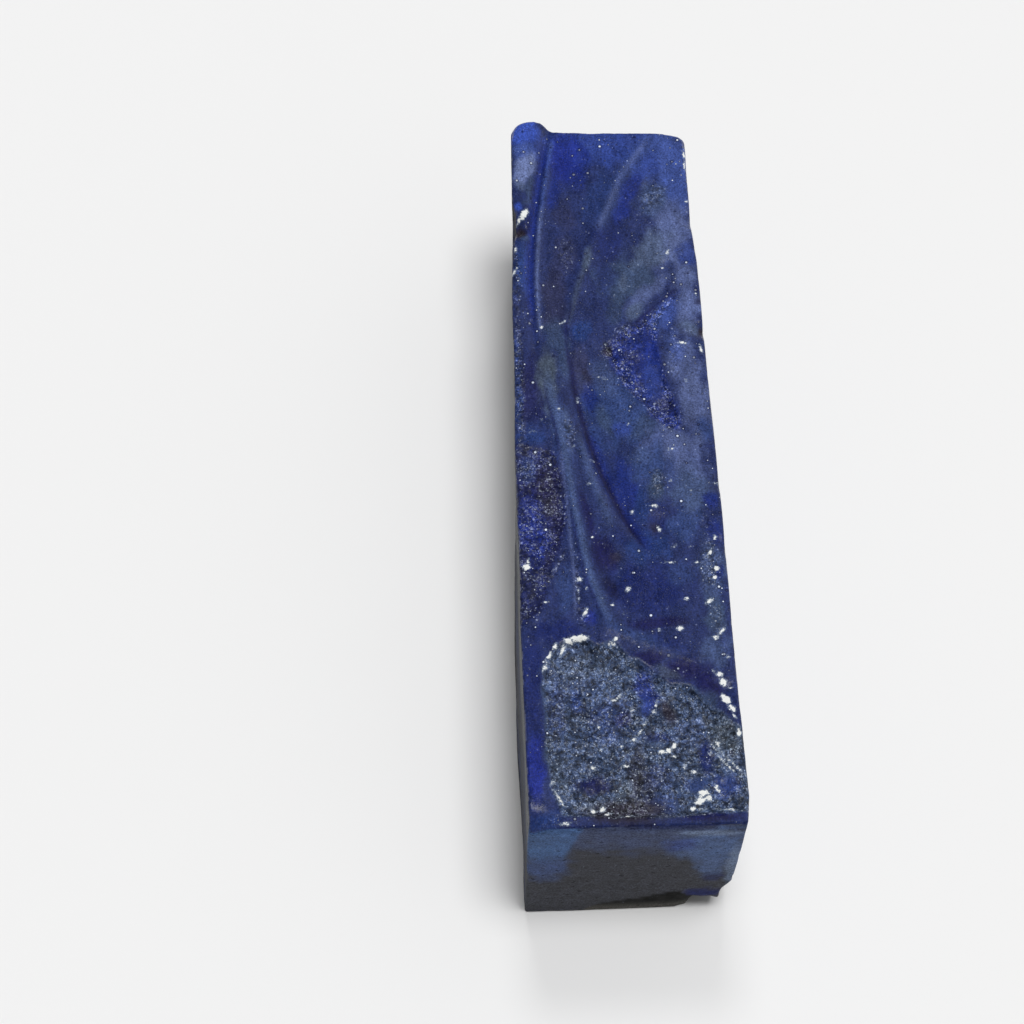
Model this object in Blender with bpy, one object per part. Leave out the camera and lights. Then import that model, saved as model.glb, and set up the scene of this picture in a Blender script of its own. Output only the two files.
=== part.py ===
# A rough sapphire: one bar of dark blue corundum, sawn along its sides and its near
# end, with a glassy broken top that carries long folds and two sugary break scars.
# Metres, +Z up. The bar lies on its underside with its length along Y and its sawn end
# towards -Y. The origin is on the ground, under the middle of the bar's box.

from collections import namedtuple

import bmesh
import bpy
import numpy as np
from mathutils import Vector, noise

MILLIMETRE = 0.001

# Overall size, in millimetres. X and Y are measured from the middle of the top face.
LENGTH = 85.0
WIDTH = 21.6
HEIGHT = 24.0
NEAR_END = -42.4
FAR_END_TOP = 42.6
FAR_END_BASE = 41.8
FAR_END_SLANT = 0.035
NEAR_END_LEAN = 0.25

# The bar's four long edges as (along Y, across X) stations. It tapers to its far end,
# and its left side is slightly twisted.
TOP_LEFT_EDGE = ((-42.5, -10.8), (-20.0, -10.9), (0.0, -10.8), (20.0, -10.5), (42.5, -9.95))
BASE_LEFT_EDGE = ((-42.5, -10.85), (-20.0, -11.05), (-10.0, -10.95), (-4.0, -10.8), (0.5, -10.4),
                  (5.5, -9.75), (14.0, -9.7), (42.5, -9.1))
TOP_RIGHT_EDGE = ((-42.5, 10.85), (-39.5, 11.2), (-30.0, 10.9), (-15.0, 10.8), (0.0, 10.6),
                  (10.0, 10.3), (25.0, 10.05), (30.0, 9.65), (42.5, 9.8))
BASE_RIGHT_EDGE = ((-42.5, 10.6), (0.0, 10.0), (42.5, 9.5))

# How worn the edges are
EDGE_WEAR = 0.28
EDGE_WEAR_CHANGE = 0.14
EDGE_WEAR_SIZE = Vector((2.0, 2.5, 2.0))
FAR_RIGHT_CORNER_WEAR = 0.8
FAR_LEFT_CORNER_WEAR = 0.8
CORNER_REACH = 3.0

# A fold of the top face: a crest (or, with a negative height, a crease) along a path
# that runs from the far end towards -Y, and how far its two flanks reach.
Fold = namedtuple("Fold", "path height left_flank right_flank")

LIP_CREST = ((-5.2, 42.5), (-6.0, 38.0), (-6.8, 33.0), (-7.4, 28.0), (-7.8, 22.0), (-7.6, 14.0))
MAIN_CREST = ((-7.2, 13.0), (-6.9, 8.0), (-6.0, 3.0), (-5.3, -3.0), (-5.0, -6.0), (-4.5, -9.0),
              (-4.1, -12.0), (-3.5, -15.0), (-2.9, -17.0), (-2.3, -19.0), (-1.4, -20.6),
              (1.6, -22.0), (5.0, -23.5), (8.0, -24.5))
SOFT_CREST = ((5.9, 42.3), (4.6, 40.0), (3.3, 38.0), (2.1, 36.0), (1.3, 34.0), (0.5, 32.0),
              (-0.3, 30.0), (-1.1, 28.2), (-1.8, 26.4), (-2.3, 24.2), (-3.1, 22.0), (-3.7, 19.8),
              (-4.4, 17.4), (-4.8, 16.0))
BANK_CREST = ((-4.3, 3.5), (-3.5, 0.0), (-2.8, -3.0), (-1.8, -6.0), (-0.8, -9.5))
CREASE = ((-4.6, 14.5), (-4.4, 10.0), (-4.0, 7.0), (-3.4, 4.0), (-2.7, 1.0), (-1.8, -2.0),
          (-0.7, -5.0), (0.3, -7.5), (1.5, -10.0), (3.2, -12.8))
FOLDS = (
    Fold(LIP_CREST, 0.24, 0.3, 0.5),
    Fold(SOFT_CREST, 0.30, 0.8, 1.2),
    Fold(MAIN_CREST, 0.36, 1.0, 0.9),
    Fold(BANK_CREST, 0.24, 0.6, 0.5),
    Fold(CREASE, -0.65, 0.45, 2.2),
)
FOLD_FADE = 0.25

# The raised lip along the far left edge, with a groove between it and its crest
LIP_HEIGHT_FAR = 0.7
LIP_HEIGHT_NEAR = 0.15
LIP_NEAR_END = 12.0
LIP_FAR_END = 42.0
LIP_START = (10.0, 16.0)
LIP_SIDE = -1.1
LIP_SLOPE = 0.8
GROOVE_SIDE = -0.75
GROOVE_DEPTH = 0.2
GROOVE_WIDTH = 0.45
LIP_BULGE = 0.95
LIP_BULGE_MIDDLE = -7.9
LIP_BULGE_HALF_WIDTH = 2.7
LIP_BULGE_DROP = 12.0

# Break scars of the top face: an outline, a depth, the width of the wall inside the
# outline, and the size and height of the coarse steps on the floor
Scar = namedtuple("Scar", "outline depth wall step_size step_height")

BROKEN_SCAR = Scar(
    ((-8.9, -26.0), (-8.8, -24.8), (-8.0, -23.2), (-7.2, -22.2), (-6.2, -21.8), (-5.0, -21.6),
     (-4.0, -22.0), (-3.2, -22.6), (-2.4, -22.4), (-1.5, -22.1), (-0.8, -22.8), (0.0, -24.0),
     (1.0, -24.2), (2.0, -25.0), (3.0, -26.0), (4.0, -26.9), (5.3, -27.0), (6.3, -27.3),
     (7.0, -28.3), (7.8, -29.6), (9.0, -30.2), (10.0, -31.5), (12.5, -33.0), (12.5, -41.2),
     (4.0, -41.8), (-4.0, -41.6), (-7.6, -41.2), (-8.4, -38.5), (-9.0, -34.0), (-8.8, -30.0),
     (-9.1, -27.0)),
    0.65, 0.8, 1.9, 0.26)
WEDGE_SCAR = Scar(
    ((8.0, 20.8), (2.2, 15.8), (0.0, 14.4), (-0.9, 13.2), (-0.1, 11.4), (1.0, 8.8), (2.0, 7.3),
     (3.3, 5.8), (4.1, 4.3), (5.6, 3.2), (7.0, 2.8), (6.9, 5.2), (6.1, 8.0), (5.5, 10.8),
     (5.0, 13.8), (5.3, 16.5), (6.8, 18.8)),
    0.3, 0.7, 1.4, 0.1)
LEFT_SCAR = Scar(
    ((-12.5, 2.0), (-6.6, 0.5), (-5.8, -3.0), (-5.5, -8.0), (-7.4, -13.5), (-8.6, -18.5),
     (-12.5, -21.0)),
    0.2, 1.0, 1.5, 0.1)
SCARS = (BROKEN_SCAR, WEDGE_SCAR, LEFT_SCAR)

# The scars run out towards the bar's edges: how much shallower they get, and where
SCAR_LOSS_AT_RIGHT = 0.55
SCAR_LOSS_START = 6.0
SCAR_LOSS_AT_LEFT = 0.85
SCAR_LEFT_RISE = (-5.0, -9.0)
SCAR_NEAR_RISE = (-24.5, -28.0)

# Round dents and bumps of the top face, the latter with a negative depth
Dent = namedtuple("Dent", "x y radius depth")

TOP_DENTS = (
    Dent(6.2, -26.2, 2.2, 0.15),
    Dent(-0.4, 13.0, 0.8, 0.45),
    Dent(5.4, 6.0, 1.2, 0.2),
    Dent(-9.7, 29.0, 1.0, 0.9),
    Dent(-8.9, 31.0, 0.8, -0.35),
    Dent(-10.5, 24.2, 0.7, 0.5),
    Dent(10.1, 15.5, 0.9, 0.7),
    Dent(10.6, -3.8, 0.9, 0.5),
    Dent(10.5, -11.0, 0.8, 0.35),
    Dent(9.8, 30.0, 1.0, 0.45),
    Dent(-11.0, -42.8, 1.7, 1.7),
    Dent(9.6, -28.0, 1.2, 0.35),
    Dent(4.2, -8.5, 1.5, 0.3),
    Dent(-1.6, -14.0, 1.7, 0.25),
    Dent(4.6, 34.6, 0.9, 0.22),
    Dent(6.3, 24.2, 0.8, 0.25),
)

# Slow swelling of the whole top face
TOP_SWELL_HEIGHT = 0.3
TOP_SWELL_SIZE = Vector((6.0, 13.0, 10.0))

# Shell-shaped breaks that run in from the edges of the side faces and the far end:
# centre along the face, centre height, radius and depth
Break = namedtuple("Break", "along height radius depth")

RIGHT_BREAKS = (Break(-43.0, 3.5, 4.4, 1.1), Break(-27.0, -1.5, 5.0, 0.9), Break(17.0, -1.0, 3.2, 0.6),
                Break(43.5, 12.0, 4.0, 0.7))
LEFT_BREAKS = (Break(29.0, 24.5, 3.6, 0.5), Break(33.0, -1.0, 5.0, 0.8), Break(-36.0, -0.5, 2.8, 0.5),
               Break(2.0, -1.0, 2.4, 0.4))
FAR_BREAKS = (Break(4.5, 7.0, 8.0, 1.3), Break(-6.0, 2.0, 5.0, 0.9), Break(10.0, 21.0, 4.0, 0.6))
BREAK_RAGGEDNESS = 0.45
BREAK_RAG_SIZE = Vector((2.6, 2.6, 2.6))
FACE_SWELL = 0.12
FAR_END_SWELL = 0.45
FAR_END_SOUND_RIM = 4.0
FACE_SWELL_SIZE = Vector((7.0, 7.0, 5.0))

# The break below the near end: its upper edge on the near face, and how far it draws
# back for each millimetre down
CHIP_EDGE = ((-5.0, 0.0), (-4.0, 1.4), (-3.0, 2.2), (-1.0, 3.0), (1.0, 3.6), (3.0, 4.6), (5.0, 5.4),
             (6.2, 4.0), (9.3, 3.1), (11.5, 3.2))
CHIP_SLOPE = ((-5.0, 0.02), (5.0, 0.03), (6.2, 0.12), (7.2, 0.5), (8.0, 0.9), (11.5, 1.5))

# The surface grid before it is thinned to flat facets: cells along X, Y and Z, and how
# strongly they crowd at the edges
GRID = (38, 150, 30)
GRID_CROWDING = 0.62
KEPT_SHARE_OF_FACES = 0.2

STONE_COLOUR = (0.026, 0.044, 0.150, 1.0)
STONE_ROUGHNESS = 0.32


def smoothstep(start, end, value):
    share = np.clip((value - start) / (end - start), 0.0, 1.0)
    return share * share * (3.0 - 2.0 * share)


def stations(table, value):
    """Read a value from a table of (position, value) stations."""
    positions, values = zip(*table)
    return np.interp(value, positions, values)


def swelling(x, y, z, size):
    """Smooth noise between about -1 and 1, with bumps of the given size."""
    coordinates = zip(x / size.x, y / size.y, z / size.z)
    return np.array([noise.noise(Vector(place)) for place in coordinates])


def smooth_path(points, steps=6):
    """Points along a smooth curve that passes through the given ones."""
    known = np.array(points, dtype=float)
    known = np.vstack((2.0 * known[0] - known[1], known, 2.0 * known[-1] - known[-2]))
    curve = []
    for before, start, end, after in zip(known, known[1:], known[2:], known[3:]):
        for share in np.linspace(0.0, 1.0, steps, endpoint=False):
            bend = (2.0 * before - 5.0 * start + 4.0 * end - after) * share ** 2
            twist = (3.0 * start - before - 3.0 * end + after) * share ** 3
            curve.append(0.5 * (2.0 * start + (end - before) * share + bend + twist))
    curve.append(known[-2])
    return np.array(curve)


def beside(path, x, y):
    """Distance from a path, positive on its +X side, and the share of it already passed."""
    curve = smooth_path(path)
    nearest = np.full(x.shape, np.inf)
    side = np.ones(x.shape)
    passed = np.zeros(x.shape)
    for number, (start, end) in enumerate(zip(curve, curve[1:])):
        run = end - start
        share = ((x - start[0]) * run[0] + (y - start[1]) * run[1]) / run.dot(run)
        held = np.clip(share, 0.0, 1.0)
        distance = np.hypot(x - start[0] - held * run[0], y - start[1] - held * run[1])
        closer = distance < nearest
        turn = run[0] * (y - start[1]) - run[1] * (x - start[0])
        nearest = np.where(closer, distance, nearest)
        side = np.where(closer, np.where(turn < 0.0, -1.0, 1.0), side)
        passed = np.where(closer, (number + held) / (len(curve) - 1), passed)
    return side * nearest, passed


def depth_inside(outline, x, y):
    """Distance from a closed outline, positive inside it."""
    nearest = np.full(x.shape, np.inf)
    inside = np.zeros(x.shape, dtype=bool)
    for start, end in zip(outline, outline[1:] + outline[:1]):
        run_x, run_y = end[0] - start[0], end[1] - start[1]
        share = ((x - start[0]) * run_x + (y - start[1]) * run_y) / (run_x ** 2 + run_y ** 2)
        held = np.clip(share, 0.0, 1.0)
        distance = np.hypot(x - start[0] - held * run_x, y - start[1] - held * run_y)
        nearest = np.minimum(nearest, distance)
        if run_y != 0.0:
            spans = (start[1] > y) != (end[1] > y)
            inside ^= spans & (x < start[0] + run_x * (y - start[1]) / run_y)
    return np.where(inside, nearest, -nearest)


def fold_height(fold, x, y):
    distance, passed = beside(fold.path, x, y)
    flank = np.where(distance < 0.0, fold.left_flank, fold.right_flank)
    ends = smoothstep(0.0, FOLD_FADE, passed) * smoothstep(1.0, 1.0 - FOLD_FADE, passed)
    return fold.height * ends / (1.0 + (distance / flank) ** 2)


def lip_height(x, y):
    """The lip along the far left edge and the groove at its foot."""
    distance, _ = beside(LIP_CREST, x, y)
    along = smoothstep(LIP_NEAR_END, LIP_FAR_END, y)
    height = LIP_HEIGHT_NEAR + (LIP_HEIGHT_FAR - LIP_HEIGHT_NEAR) * along
    rise = smoothstep(LIP_SIDE + LIP_SLOPE, LIP_SIDE - LIP_SLOPE, distance)
    groove = np.exp(-((distance - GROOVE_SIDE) / GROOVE_WIDTH) ** 2)
    present = smoothstep(*LIP_START, y)
    return present * (height * rise - GROOVE_DEPTH * groove)


def scar_depth(scar, x, y):
    """A break scar with a steep wall and an uneven floor."""
    inside = depth_inside(scar.outline, x, y)
    shallower = 1.0 - SCAR_LOSS_AT_RIGHT * smoothstep(SCAR_LOSS_START, WIDTH / 2, x)
    shallower *= 1.0 - SCAR_LOSS_AT_LEFT * smoothstep(*SCAR_LEFT_RISE, x) * smoothstep(*SCAR_NEAR_RISE, y)
    floor = shallower * smoothstep(0.0, scar.wall, inside)
    size = Vector((scar.step_size, scar.step_size, scar.step_size))
    steps = scar.step_height * swelling(x, y, np.zeros(x.shape), size)
    return floor * (scar.depth + steps)


def top_height(x, y):
    height = HEIGHT + TOP_SWELL_HEIGHT * swelling(x, y, np.zeros(x.shape), TOP_SWELL_SIZE)
    height += lip_height(x, y)
    for fold in FOLDS:
        height += fold_height(fold, x, y)
    for scar in SCARS:
        height -= scar_depth(scar, x, y)
    for dent in TOP_DENTS:
        distance = np.hypot(x - dent.x, y - dent.y)
        height -= dent.depth * np.exp(-(distance / dent.radius) ** 2)
    return height


def broken_in(breaks, along, height):
    """How far shell-shaped breaks with ragged borders cut into a face."""
    rag = 1.0 + BREAK_RAGGEDNESS * swelling(along, height, np.zeros(along.shape), BREAK_RAG_SIZE)
    depth = np.zeros(along.shape)
    for place in breaks:
        distance = rag * np.hypot(along - place.along, height - place.height)
        depth += place.depth * np.clip(1.0 - (distance / place.radius) ** 2, 0.0, 1.0)
    return depth


def side_face(base_edge, top_edge, y, z):
    """The plane sawn from a base edge up to a top edge."""
    base = stations(base_edge, y)
    return base + z / HEIGHT * (stations(top_edge, y) - base)


def left_face(x, y, z):
    swell = FACE_SWELL * swelling(x, y, z, FACE_SWELL_SIZE)
    return side_face(BASE_LEFT_EDGE, TOP_LEFT_EDGE, y, z) + broken_in(LEFT_BREAKS, y, z) + swell


def right_face(x, y, z):
    swell = FACE_SWELL * swelling(x, y, z, FACE_SWELL_SIZE)
    return side_face(BASE_RIGHT_EDGE, TOP_RIGHT_EDGE, y, z) - broken_in(RIGHT_BREAKS, y, z) - swell


def near_face(x, z):
    """The sawn near end, drawn back where its lower part broke off."""
    lean = NEAR_END_LEAN * (1.0 - z / HEIGHT)
    return NEAR_END + lean + stations(CHIP_SLOPE, x) * np.maximum(stations(CHIP_EDGE, x) - z, 0.0)


def far_face(x, y, z):
    """The broken far end, with the lip's bulge at its upper left."""
    face = FAR_END_BASE + z / HEIGHT * (FAR_END_TOP - FAR_END_BASE) - FAR_END_SLANT * x
    across = np.clip(1.0 - ((x - LIP_BULGE_MIDDLE) / LIP_BULGE_HALF_WIDTH) ** 2, 0.0, 1.0)
    bulge = LIP_BULGE * across * smoothstep(HEIGHT - LIP_BULGE_DROP, HEIGHT, z)
    lowered = smoothstep(HEIGHT, HEIGHT - FAR_END_SOUND_RIM, z)
    swell = FAR_END_SWELL * lowered * swelling(x, y, z, FACE_SWELL_SIZE)
    return face + bulge - broken_in(FAR_BREAKS, x, z) * lowered - np.abs(swell)


def edge_wear(x, y, z):
    """How far each edge is worn round, in millimetres."""
    wear = EDGE_WEAR + EDGE_WEAR_CHANGE * swelling(x, y, z, EDGE_WEAR_SIZE)
    far = smoothstep(LENGTH / 2 - CORNER_REACH, LENGTH / 2, y)
    right = far * smoothstep(WIDTH / 2 - CORNER_REACH, WIDTH / 2, x)
    left = far * smoothstep(CORNER_REACH - WIDTH / 2, -WIDTH / 2, x)
    return wear + right * FAR_RIGHT_CORNER_WEAR + left * FAR_LEFT_CORNER_WEAR


def worn_box(x, y, z):
    """Points of the plain box, drawn in where they are close to one of its edges."""
    wear = edge_wear(x, y, z)
    half_size = np.array((WIDTH, LENGTH, HEIGHT))[:, None] / 2.0
    point = np.array((x, y, z - HEIGHT / 2.0))
    core = np.clip(point, wear - half_size, half_size - wear)
    outward = point - core
    length = np.maximum(np.linalg.norm(outward, axis=0), 1e-9)
    rounded = core + outward / length * wear
    return rounded[0], rounded[1], rounded[2] + HEIGHT / 2.0


def stone_surface(box_x, box_y, box_z):
    """Move points of the plain box to the stone's real surface."""
    x, y, z = worn_box(box_x, box_y, box_z)
    across = x / WIDTH + 0.5
    along = y / LENGTH + 0.5
    up = z / HEIGHT
    left = left_face(x, y, z)
    x = left + across * (right_face(x, y, z) - left)
    near = near_face(x, z)
    y = near + along * (far_face(x, y, z) - near)
    return x, y, up * top_height(x, y)


def runs_along(edge, axis):
    run = edge.verts[1].co - edge.verts[0].co
    return abs(run[axis]) > 0.9 * run.length


def gridded_cube(counts):
    """A unit cube with its faces cut into a grid, with its own count of cells along each axis."""
    grid = bmesh.new()
    bmesh.ops.create_cube(grid, size=1.0)
    for axis, count in enumerate(counts):
        edges = [edge for edge in grid.edges if runs_along(edge, axis)]
        bmesh.ops.subdivide_edges(grid, edges=edges, cuts=count - 1, use_grid_fill=True)
    return grid


def crowded(share):
    """Shift even cell borders between -0.5 and 0.5 towards the two ends."""
    return share + GRID_CROWDING * np.sin(2.0 * np.pi * share) / (2.0 * np.pi)


def stone_mesh():
    grid = gridded_cube(GRID)
    cube = np.array([vertex.co for vertex in grid.verts])
    box = crowded(cube) * (WIDTH, LENGTH, HEIGHT)
    x, y, z = stone_surface(box[:, 0], box[:, 1], box[:, 2] + HEIGHT / 2.0)
    surface = np.stack((x, y, z), axis=1)
    lowest, highest = surface.min(axis=0), surface.max(axis=0)
    origin = np.array(((lowest[0] + highest[0]) / 2.0, (lowest[1] + highest[1]) / 2.0, lowest[2]))
    for vertex, place in zip(grid.verts, (surface - origin) * MILLIMETRE):
        vertex.co = place
    mesh = bpy.data.meshes.new("rough_sapphire")
    grid.to_mesh(mesh)
    grid.free()
    return mesh


def stone_material():
    material = bpy.data.materials.new("dark_blue_corundum")
    material.use_nodes = True
    shader = material.node_tree.nodes["Principled BSDF"]
    shader.inputs["Base Color"].default_value = STONE_COLOUR
    shader.inputs["Roughness"].default_value = STONE_ROUGHNESS
    shader.inputs["Metallic"].default_value = 0.0
    material.diffuse_color = STONE_COLOUR
    return material


def build_stone(collection):
    stone = bpy.data.objects.new("rough_sapphire", stone_mesh())
    stone.data.materials.append(stone_material())
    collection.objects.link(stone)
    facets = stone.modifiers.new("flat facets", "DECIMATE")
    facets.ratio = KEPT_SHARE_OF_FACES
    facets.use_collapse_triangulate = True
    return stone


def main():
    for leftover in list(bpy.data.objects):
        bpy.data.objects.remove(leftover, do_unlink=True)
    collection = bpy.data.collections.new("rough_sapphire")
    bpy.context.scene.collection.children.link(collection)
    build_stone(collection)


main()
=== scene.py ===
"""The looks of a rough sapphire bar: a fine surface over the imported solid, its material and light.

Lengths in the shape tables are in millimetres, measured from the middle of the bar's
top face, with +Y towards the far end, +X to the right and +Z up from the ground.
"""
import math
from collections import namedtuple
from itertools import starmap

import bmesh
import bpy
import numpy as np
from mathutils import Matrix, Vector, noise


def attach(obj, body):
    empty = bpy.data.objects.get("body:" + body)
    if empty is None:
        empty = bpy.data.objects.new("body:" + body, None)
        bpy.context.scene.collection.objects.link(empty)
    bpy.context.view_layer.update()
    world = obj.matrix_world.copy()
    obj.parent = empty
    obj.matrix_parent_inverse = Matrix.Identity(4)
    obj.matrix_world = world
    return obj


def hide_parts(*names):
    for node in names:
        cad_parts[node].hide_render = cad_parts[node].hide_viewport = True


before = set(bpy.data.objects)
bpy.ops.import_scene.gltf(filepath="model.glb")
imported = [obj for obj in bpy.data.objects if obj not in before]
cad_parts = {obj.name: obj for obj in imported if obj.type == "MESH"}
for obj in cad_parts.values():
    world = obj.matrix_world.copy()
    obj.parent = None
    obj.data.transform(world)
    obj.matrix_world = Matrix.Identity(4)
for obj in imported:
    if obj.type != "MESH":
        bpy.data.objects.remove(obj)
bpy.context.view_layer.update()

NODE = "rough_sapphire"
MILLIMETRE = 0.001

# The bar's overall form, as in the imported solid
LENGTH = 85.0
WIDTH = 21.6
HEIGHT = 24.0
NEAR_END = -42.4
FAR_END_TOP = 42.6
FAR_END_BASE = 41.8
FAR_END_SLANT = 0.035
NEAR_END_LEAN = 0.25
TOP_LEFT_EDGE = ((-42.5, -10.8), (-20.0, -10.9), (0.0, -10.8), (20.0, -10.5), (42.5, -9.95))
BASE_LEFT_EDGE = ((-42.5, -10.85), (-20.0, -11.05), (-10.0, -10.95), (-4.0, -10.8), (0.5, -10.4),
                  (5.5, -9.75), (14.0, -9.7), (42.5, -9.1))
TOP_RIGHT_EDGE = ((-42.5, 10.85), (-39.5, 11.2), (-30.0, 10.9), (-15.0, 10.8), (0.0, 10.6),
                  (10.0, 10.3), (25.0, 10.05), (30.0, 9.65), (42.5, 9.8))
BASE_RIGHT_EDGE = ((-42.5, 10.6), (0.0, 10.0), (42.5, 9.5))
EDGE_WEAR = 0.28
EDGE_WEAR_CHANGE = 0.14
EDGE_WEAR_SIZE = Vector((2.0, 2.5, 2.0))
FAR_RIGHT_CORNER_WEAR = 0.8
FAR_LEFT_CORNER_WEAR = 0.8
CORNER_REACH = 3.0

# Folds of the top face: a crest, or a crease where the height is negative, along a path
# towards -Y, and how far its flanks reach
Fold = namedtuple("Fold", "path height left_flank right_flank")
LIP_CREST = ((-5.2, 42.5), (-6.0, 38.0), (-6.8, 33.0), (-7.4, 28.0), (-7.8, 22.0), (-7.6, 14.0))
MAIN_CREST = ((-7.2, 13.0), (-6.9, 8.0), (-6.0, 3.0), (-5.3, -3.0), (-5.0, -6.0), (-4.5, -9.0),
              (-4.1, -12.0), (-3.5, -15.0), (-2.9, -17.0), (-2.3, -19.0), (-1.4, -20.6),
              (1.6, -22.0), (5.0, -23.5), (8.0, -24.5))
SOFT_CREST = ((5.9, 42.3), (4.6, 40.0), (3.3, 38.0), (2.1, 36.0), (1.3, 34.0), (0.5, 32.0),
              (-0.3, 30.0), (-1.1, 28.2), (-1.8, 26.4), (-2.3, 24.2), (-3.1, 22.0), (-3.7, 19.8),
              (-4.4, 17.4), (-4.8, 16.0))
BANK_CREST = ((-4.3, 3.5), (-3.5, 0.0), (-2.8, -3.0), (-1.8, -6.0), (-0.8, -9.5))
CREASE = ((-4.6, 14.5), (-4.4, 10.0), (-4.0, 7.0), (-3.4, 4.0), (-2.7, 1.0), (-1.8, -2.0),
          (-0.7, -5.0), (0.3, -7.5), (1.5, -10.0), (3.2, -12.8))
FOLDS = (
    Fold(LIP_CREST, 0.24, 0.3, 0.5),
    Fold(SOFT_CREST, 0.30, 0.8, 1.2),
    Fold(MAIN_CREST, 0.36, 1.0, 0.9),
    Fold(BANK_CREST, 0.24, 0.6, 0.5),
    Fold(CREASE, -0.65, 0.45, 2.2),
)
FOLD_FADE = 0.25

LIP_HEIGHT_FAR = 0.7
LIP_HEIGHT_NEAR = 0.15
LIP_NEAR_END = 12.0
LIP_FAR_END = 42.0
LIP_START = (10.0, 16.0)
LIP_SIDE = -1.1
LIP_SLOPE = 0.8
GROOVE_SIDE = -0.75
GROOVE_DEPTH = 0.2
GROOVE_WIDTH = 0.45
LIP_BULGE = 0.95
LIP_BULGE_MIDDLE = -7.9
LIP_BULGE_HALF_WIDTH = 2.7
LIP_BULGE_DROP = 12.0

# Break scars of the top face
Scar = namedtuple("Scar", "outline depth wall step_size step_height")
BROKEN_SCAR = Scar(
    ((-8.9, -26.0), (-8.8, -24.8), (-8.0, -23.2), (-7.2, -22.2), (-6.2, -21.8), (-5.0, -21.6),
     (-4.0, -22.0), (-3.2, -22.6), (-2.4, -22.4), (-1.5, -22.1), (-0.8, -22.8), (0.0, -24.0),
     (1.0, -24.2), (2.0, -25.0), (3.0, -26.0), (4.0, -26.9), (5.3, -27.0), (6.3, -27.3),
     (7.0, -28.3), (7.8, -29.6), (9.0, -30.2), (10.0, -31.5), (12.5, -33.0), (12.5, -41.2),
     (4.0, -41.8), (-4.0, -41.6), (-7.6, -41.2), (-8.4, -38.5), (-9.0, -34.0), (-8.8, -30.0),
     (-9.1, -27.0)),
    0.65, 0.8, 1.9, 0.26)
WEDGE_SCAR = Scar(
    ((8.0, 20.8), (2.2, 15.8), (0.0, 14.4), (-0.9, 13.2), (-0.1, 11.4), (1.0, 8.8), (2.0, 7.3),
     (3.3, 5.8), (4.1, 4.3), (5.6, 3.2), (7.0, 2.8), (6.9, 5.2), (6.1, 8.0), (5.5, 10.8),
     (5.0, 13.8), (5.3, 16.5), (6.8, 18.8)),
    0.3, 0.7, 1.4, 0.1)
LEFT_SCAR = Scar(
    ((-12.5, 2.0), (-6.6, 0.5), (-5.8, -3.0), (-5.5, -8.0), (-7.4, -13.5), (-8.6, -18.5),
     (-12.5, -21.0)),
    0.2, 1.0, 1.5, 0.1)
SCARS = (BROKEN_SCAR, WEDGE_SCAR, LEFT_SCAR)
SCAR_LOSS_AT_RIGHT = 0.55
SCAR_LOSS_START = 6.0
SCAR_LOSS_AT_LEFT = 0.85
SCAR_LEFT_RISE = (-5.0, -9.0)
SCAR_NEAR_RISE = (-24.5, -28.0)

Dent = namedtuple("Dent", "x y radius depth")
TOP_DENTS = (
    Dent(6.2, -26.2, 2.2, 0.15),
    Dent(-0.4, 13.0, 0.8, 0.45),
    Dent(5.4, 6.0, 1.2, 0.2),
    Dent(-9.7, 29.0, 1.0, 0.9),
    Dent(-8.9, 31.0, 0.8, -0.35),
    Dent(-10.5, 24.2, 0.7, 0.5),
    Dent(10.1, 15.5, 0.9, 0.7),
    Dent(10.6, -3.8, 0.9, 0.5),
    Dent(10.5, -11.0, 0.8, 0.35),
    Dent(9.8, 30.0, 1.0, 0.45),
    Dent(-11.0, -42.8, 1.7, 1.7),
    Dent(9.6, -28.0, 1.2, 0.35),
    Dent(4.2, -8.5, 1.5, 0.3),
    Dent(-1.6, -14.0, 1.7, 0.25),
    Dent(4.6, 34.6, 0.9, 0.22),
    Dent(6.3, 24.2, 0.8, 0.25),
)
TOP_SWELL_HEIGHT = 0.3
TOP_SWELL_SIZE = Vector((6.0, 13.0, 10.0))

# Shell-shaped breaks at the edges of the other faces
Break = namedtuple("Break", "along height radius depth")
RIGHT_BREAKS = (Break(-43.0, 3.5, 4.4, 1.1), Break(-27.0, -1.5, 5.0, 0.9), Break(17.0, -1.0, 3.2, 0.6),
                Break(43.5, 12.0, 4.0, 0.7))
LEFT_BREAKS = (Break(29.0, 24.5, 3.6, 0.5), Break(33.0, -1.0, 5.0, 0.8), Break(-36.0, -0.5, 2.8, 0.5),
               Break(2.0, -1.0, 2.4, 0.4))
FAR_BREAKS = (Break(4.5, 7.0, 8.0, 1.3), Break(-6.0, 2.0, 5.0, 0.9), Break(10.0, 21.0, 4.0, 0.6))
BREAK_RAGGEDNESS = 0.45
BREAK_RAG_SIZE = Vector((2.6, 2.6, 2.6))
FACE_SWELL = 0.12
FAR_END_SWELL = 0.45
FAR_END_SOUND_RIM = 4.0
FACE_SWELL_SIZE = Vector((7.0, 7.0, 5.0))

# The break below the near end: its upper edge on the near face, and how far it draws
# back for each millimetre down
CHIP_EDGE = ((-5.0, 0.0), (-4.0, 1.4), (-3.0, 2.2), (-1.0, 3.0), (1.0, 3.6), (3.0, 4.6), (5.0, 5.4),
             (6.2, 4.0), (9.3, 3.1), (11.5, 3.2))
CHIP_SLOPE = ((-5.0, 0.02), (5.0, 0.03), (6.2, 0.12), (7.2, 0.5), (8.0, 0.9), (11.5, 1.5))

# The fine surface grid: cells along X, Y and Z, and how they crowd at the edges. Then how
# parallel to an axis its lines are, the height in metres below which a face is part of
# the flat base, and the shortest length to divide by.
GRID = (134, 370, 42)
GRID_CROWDING = np.array((0.35, 0.25, 0.55))
PARALLEL_SHARE = 0.9
BASE_TOLERANCE = 1e-7
SHORTEST = 1e-9

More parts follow.
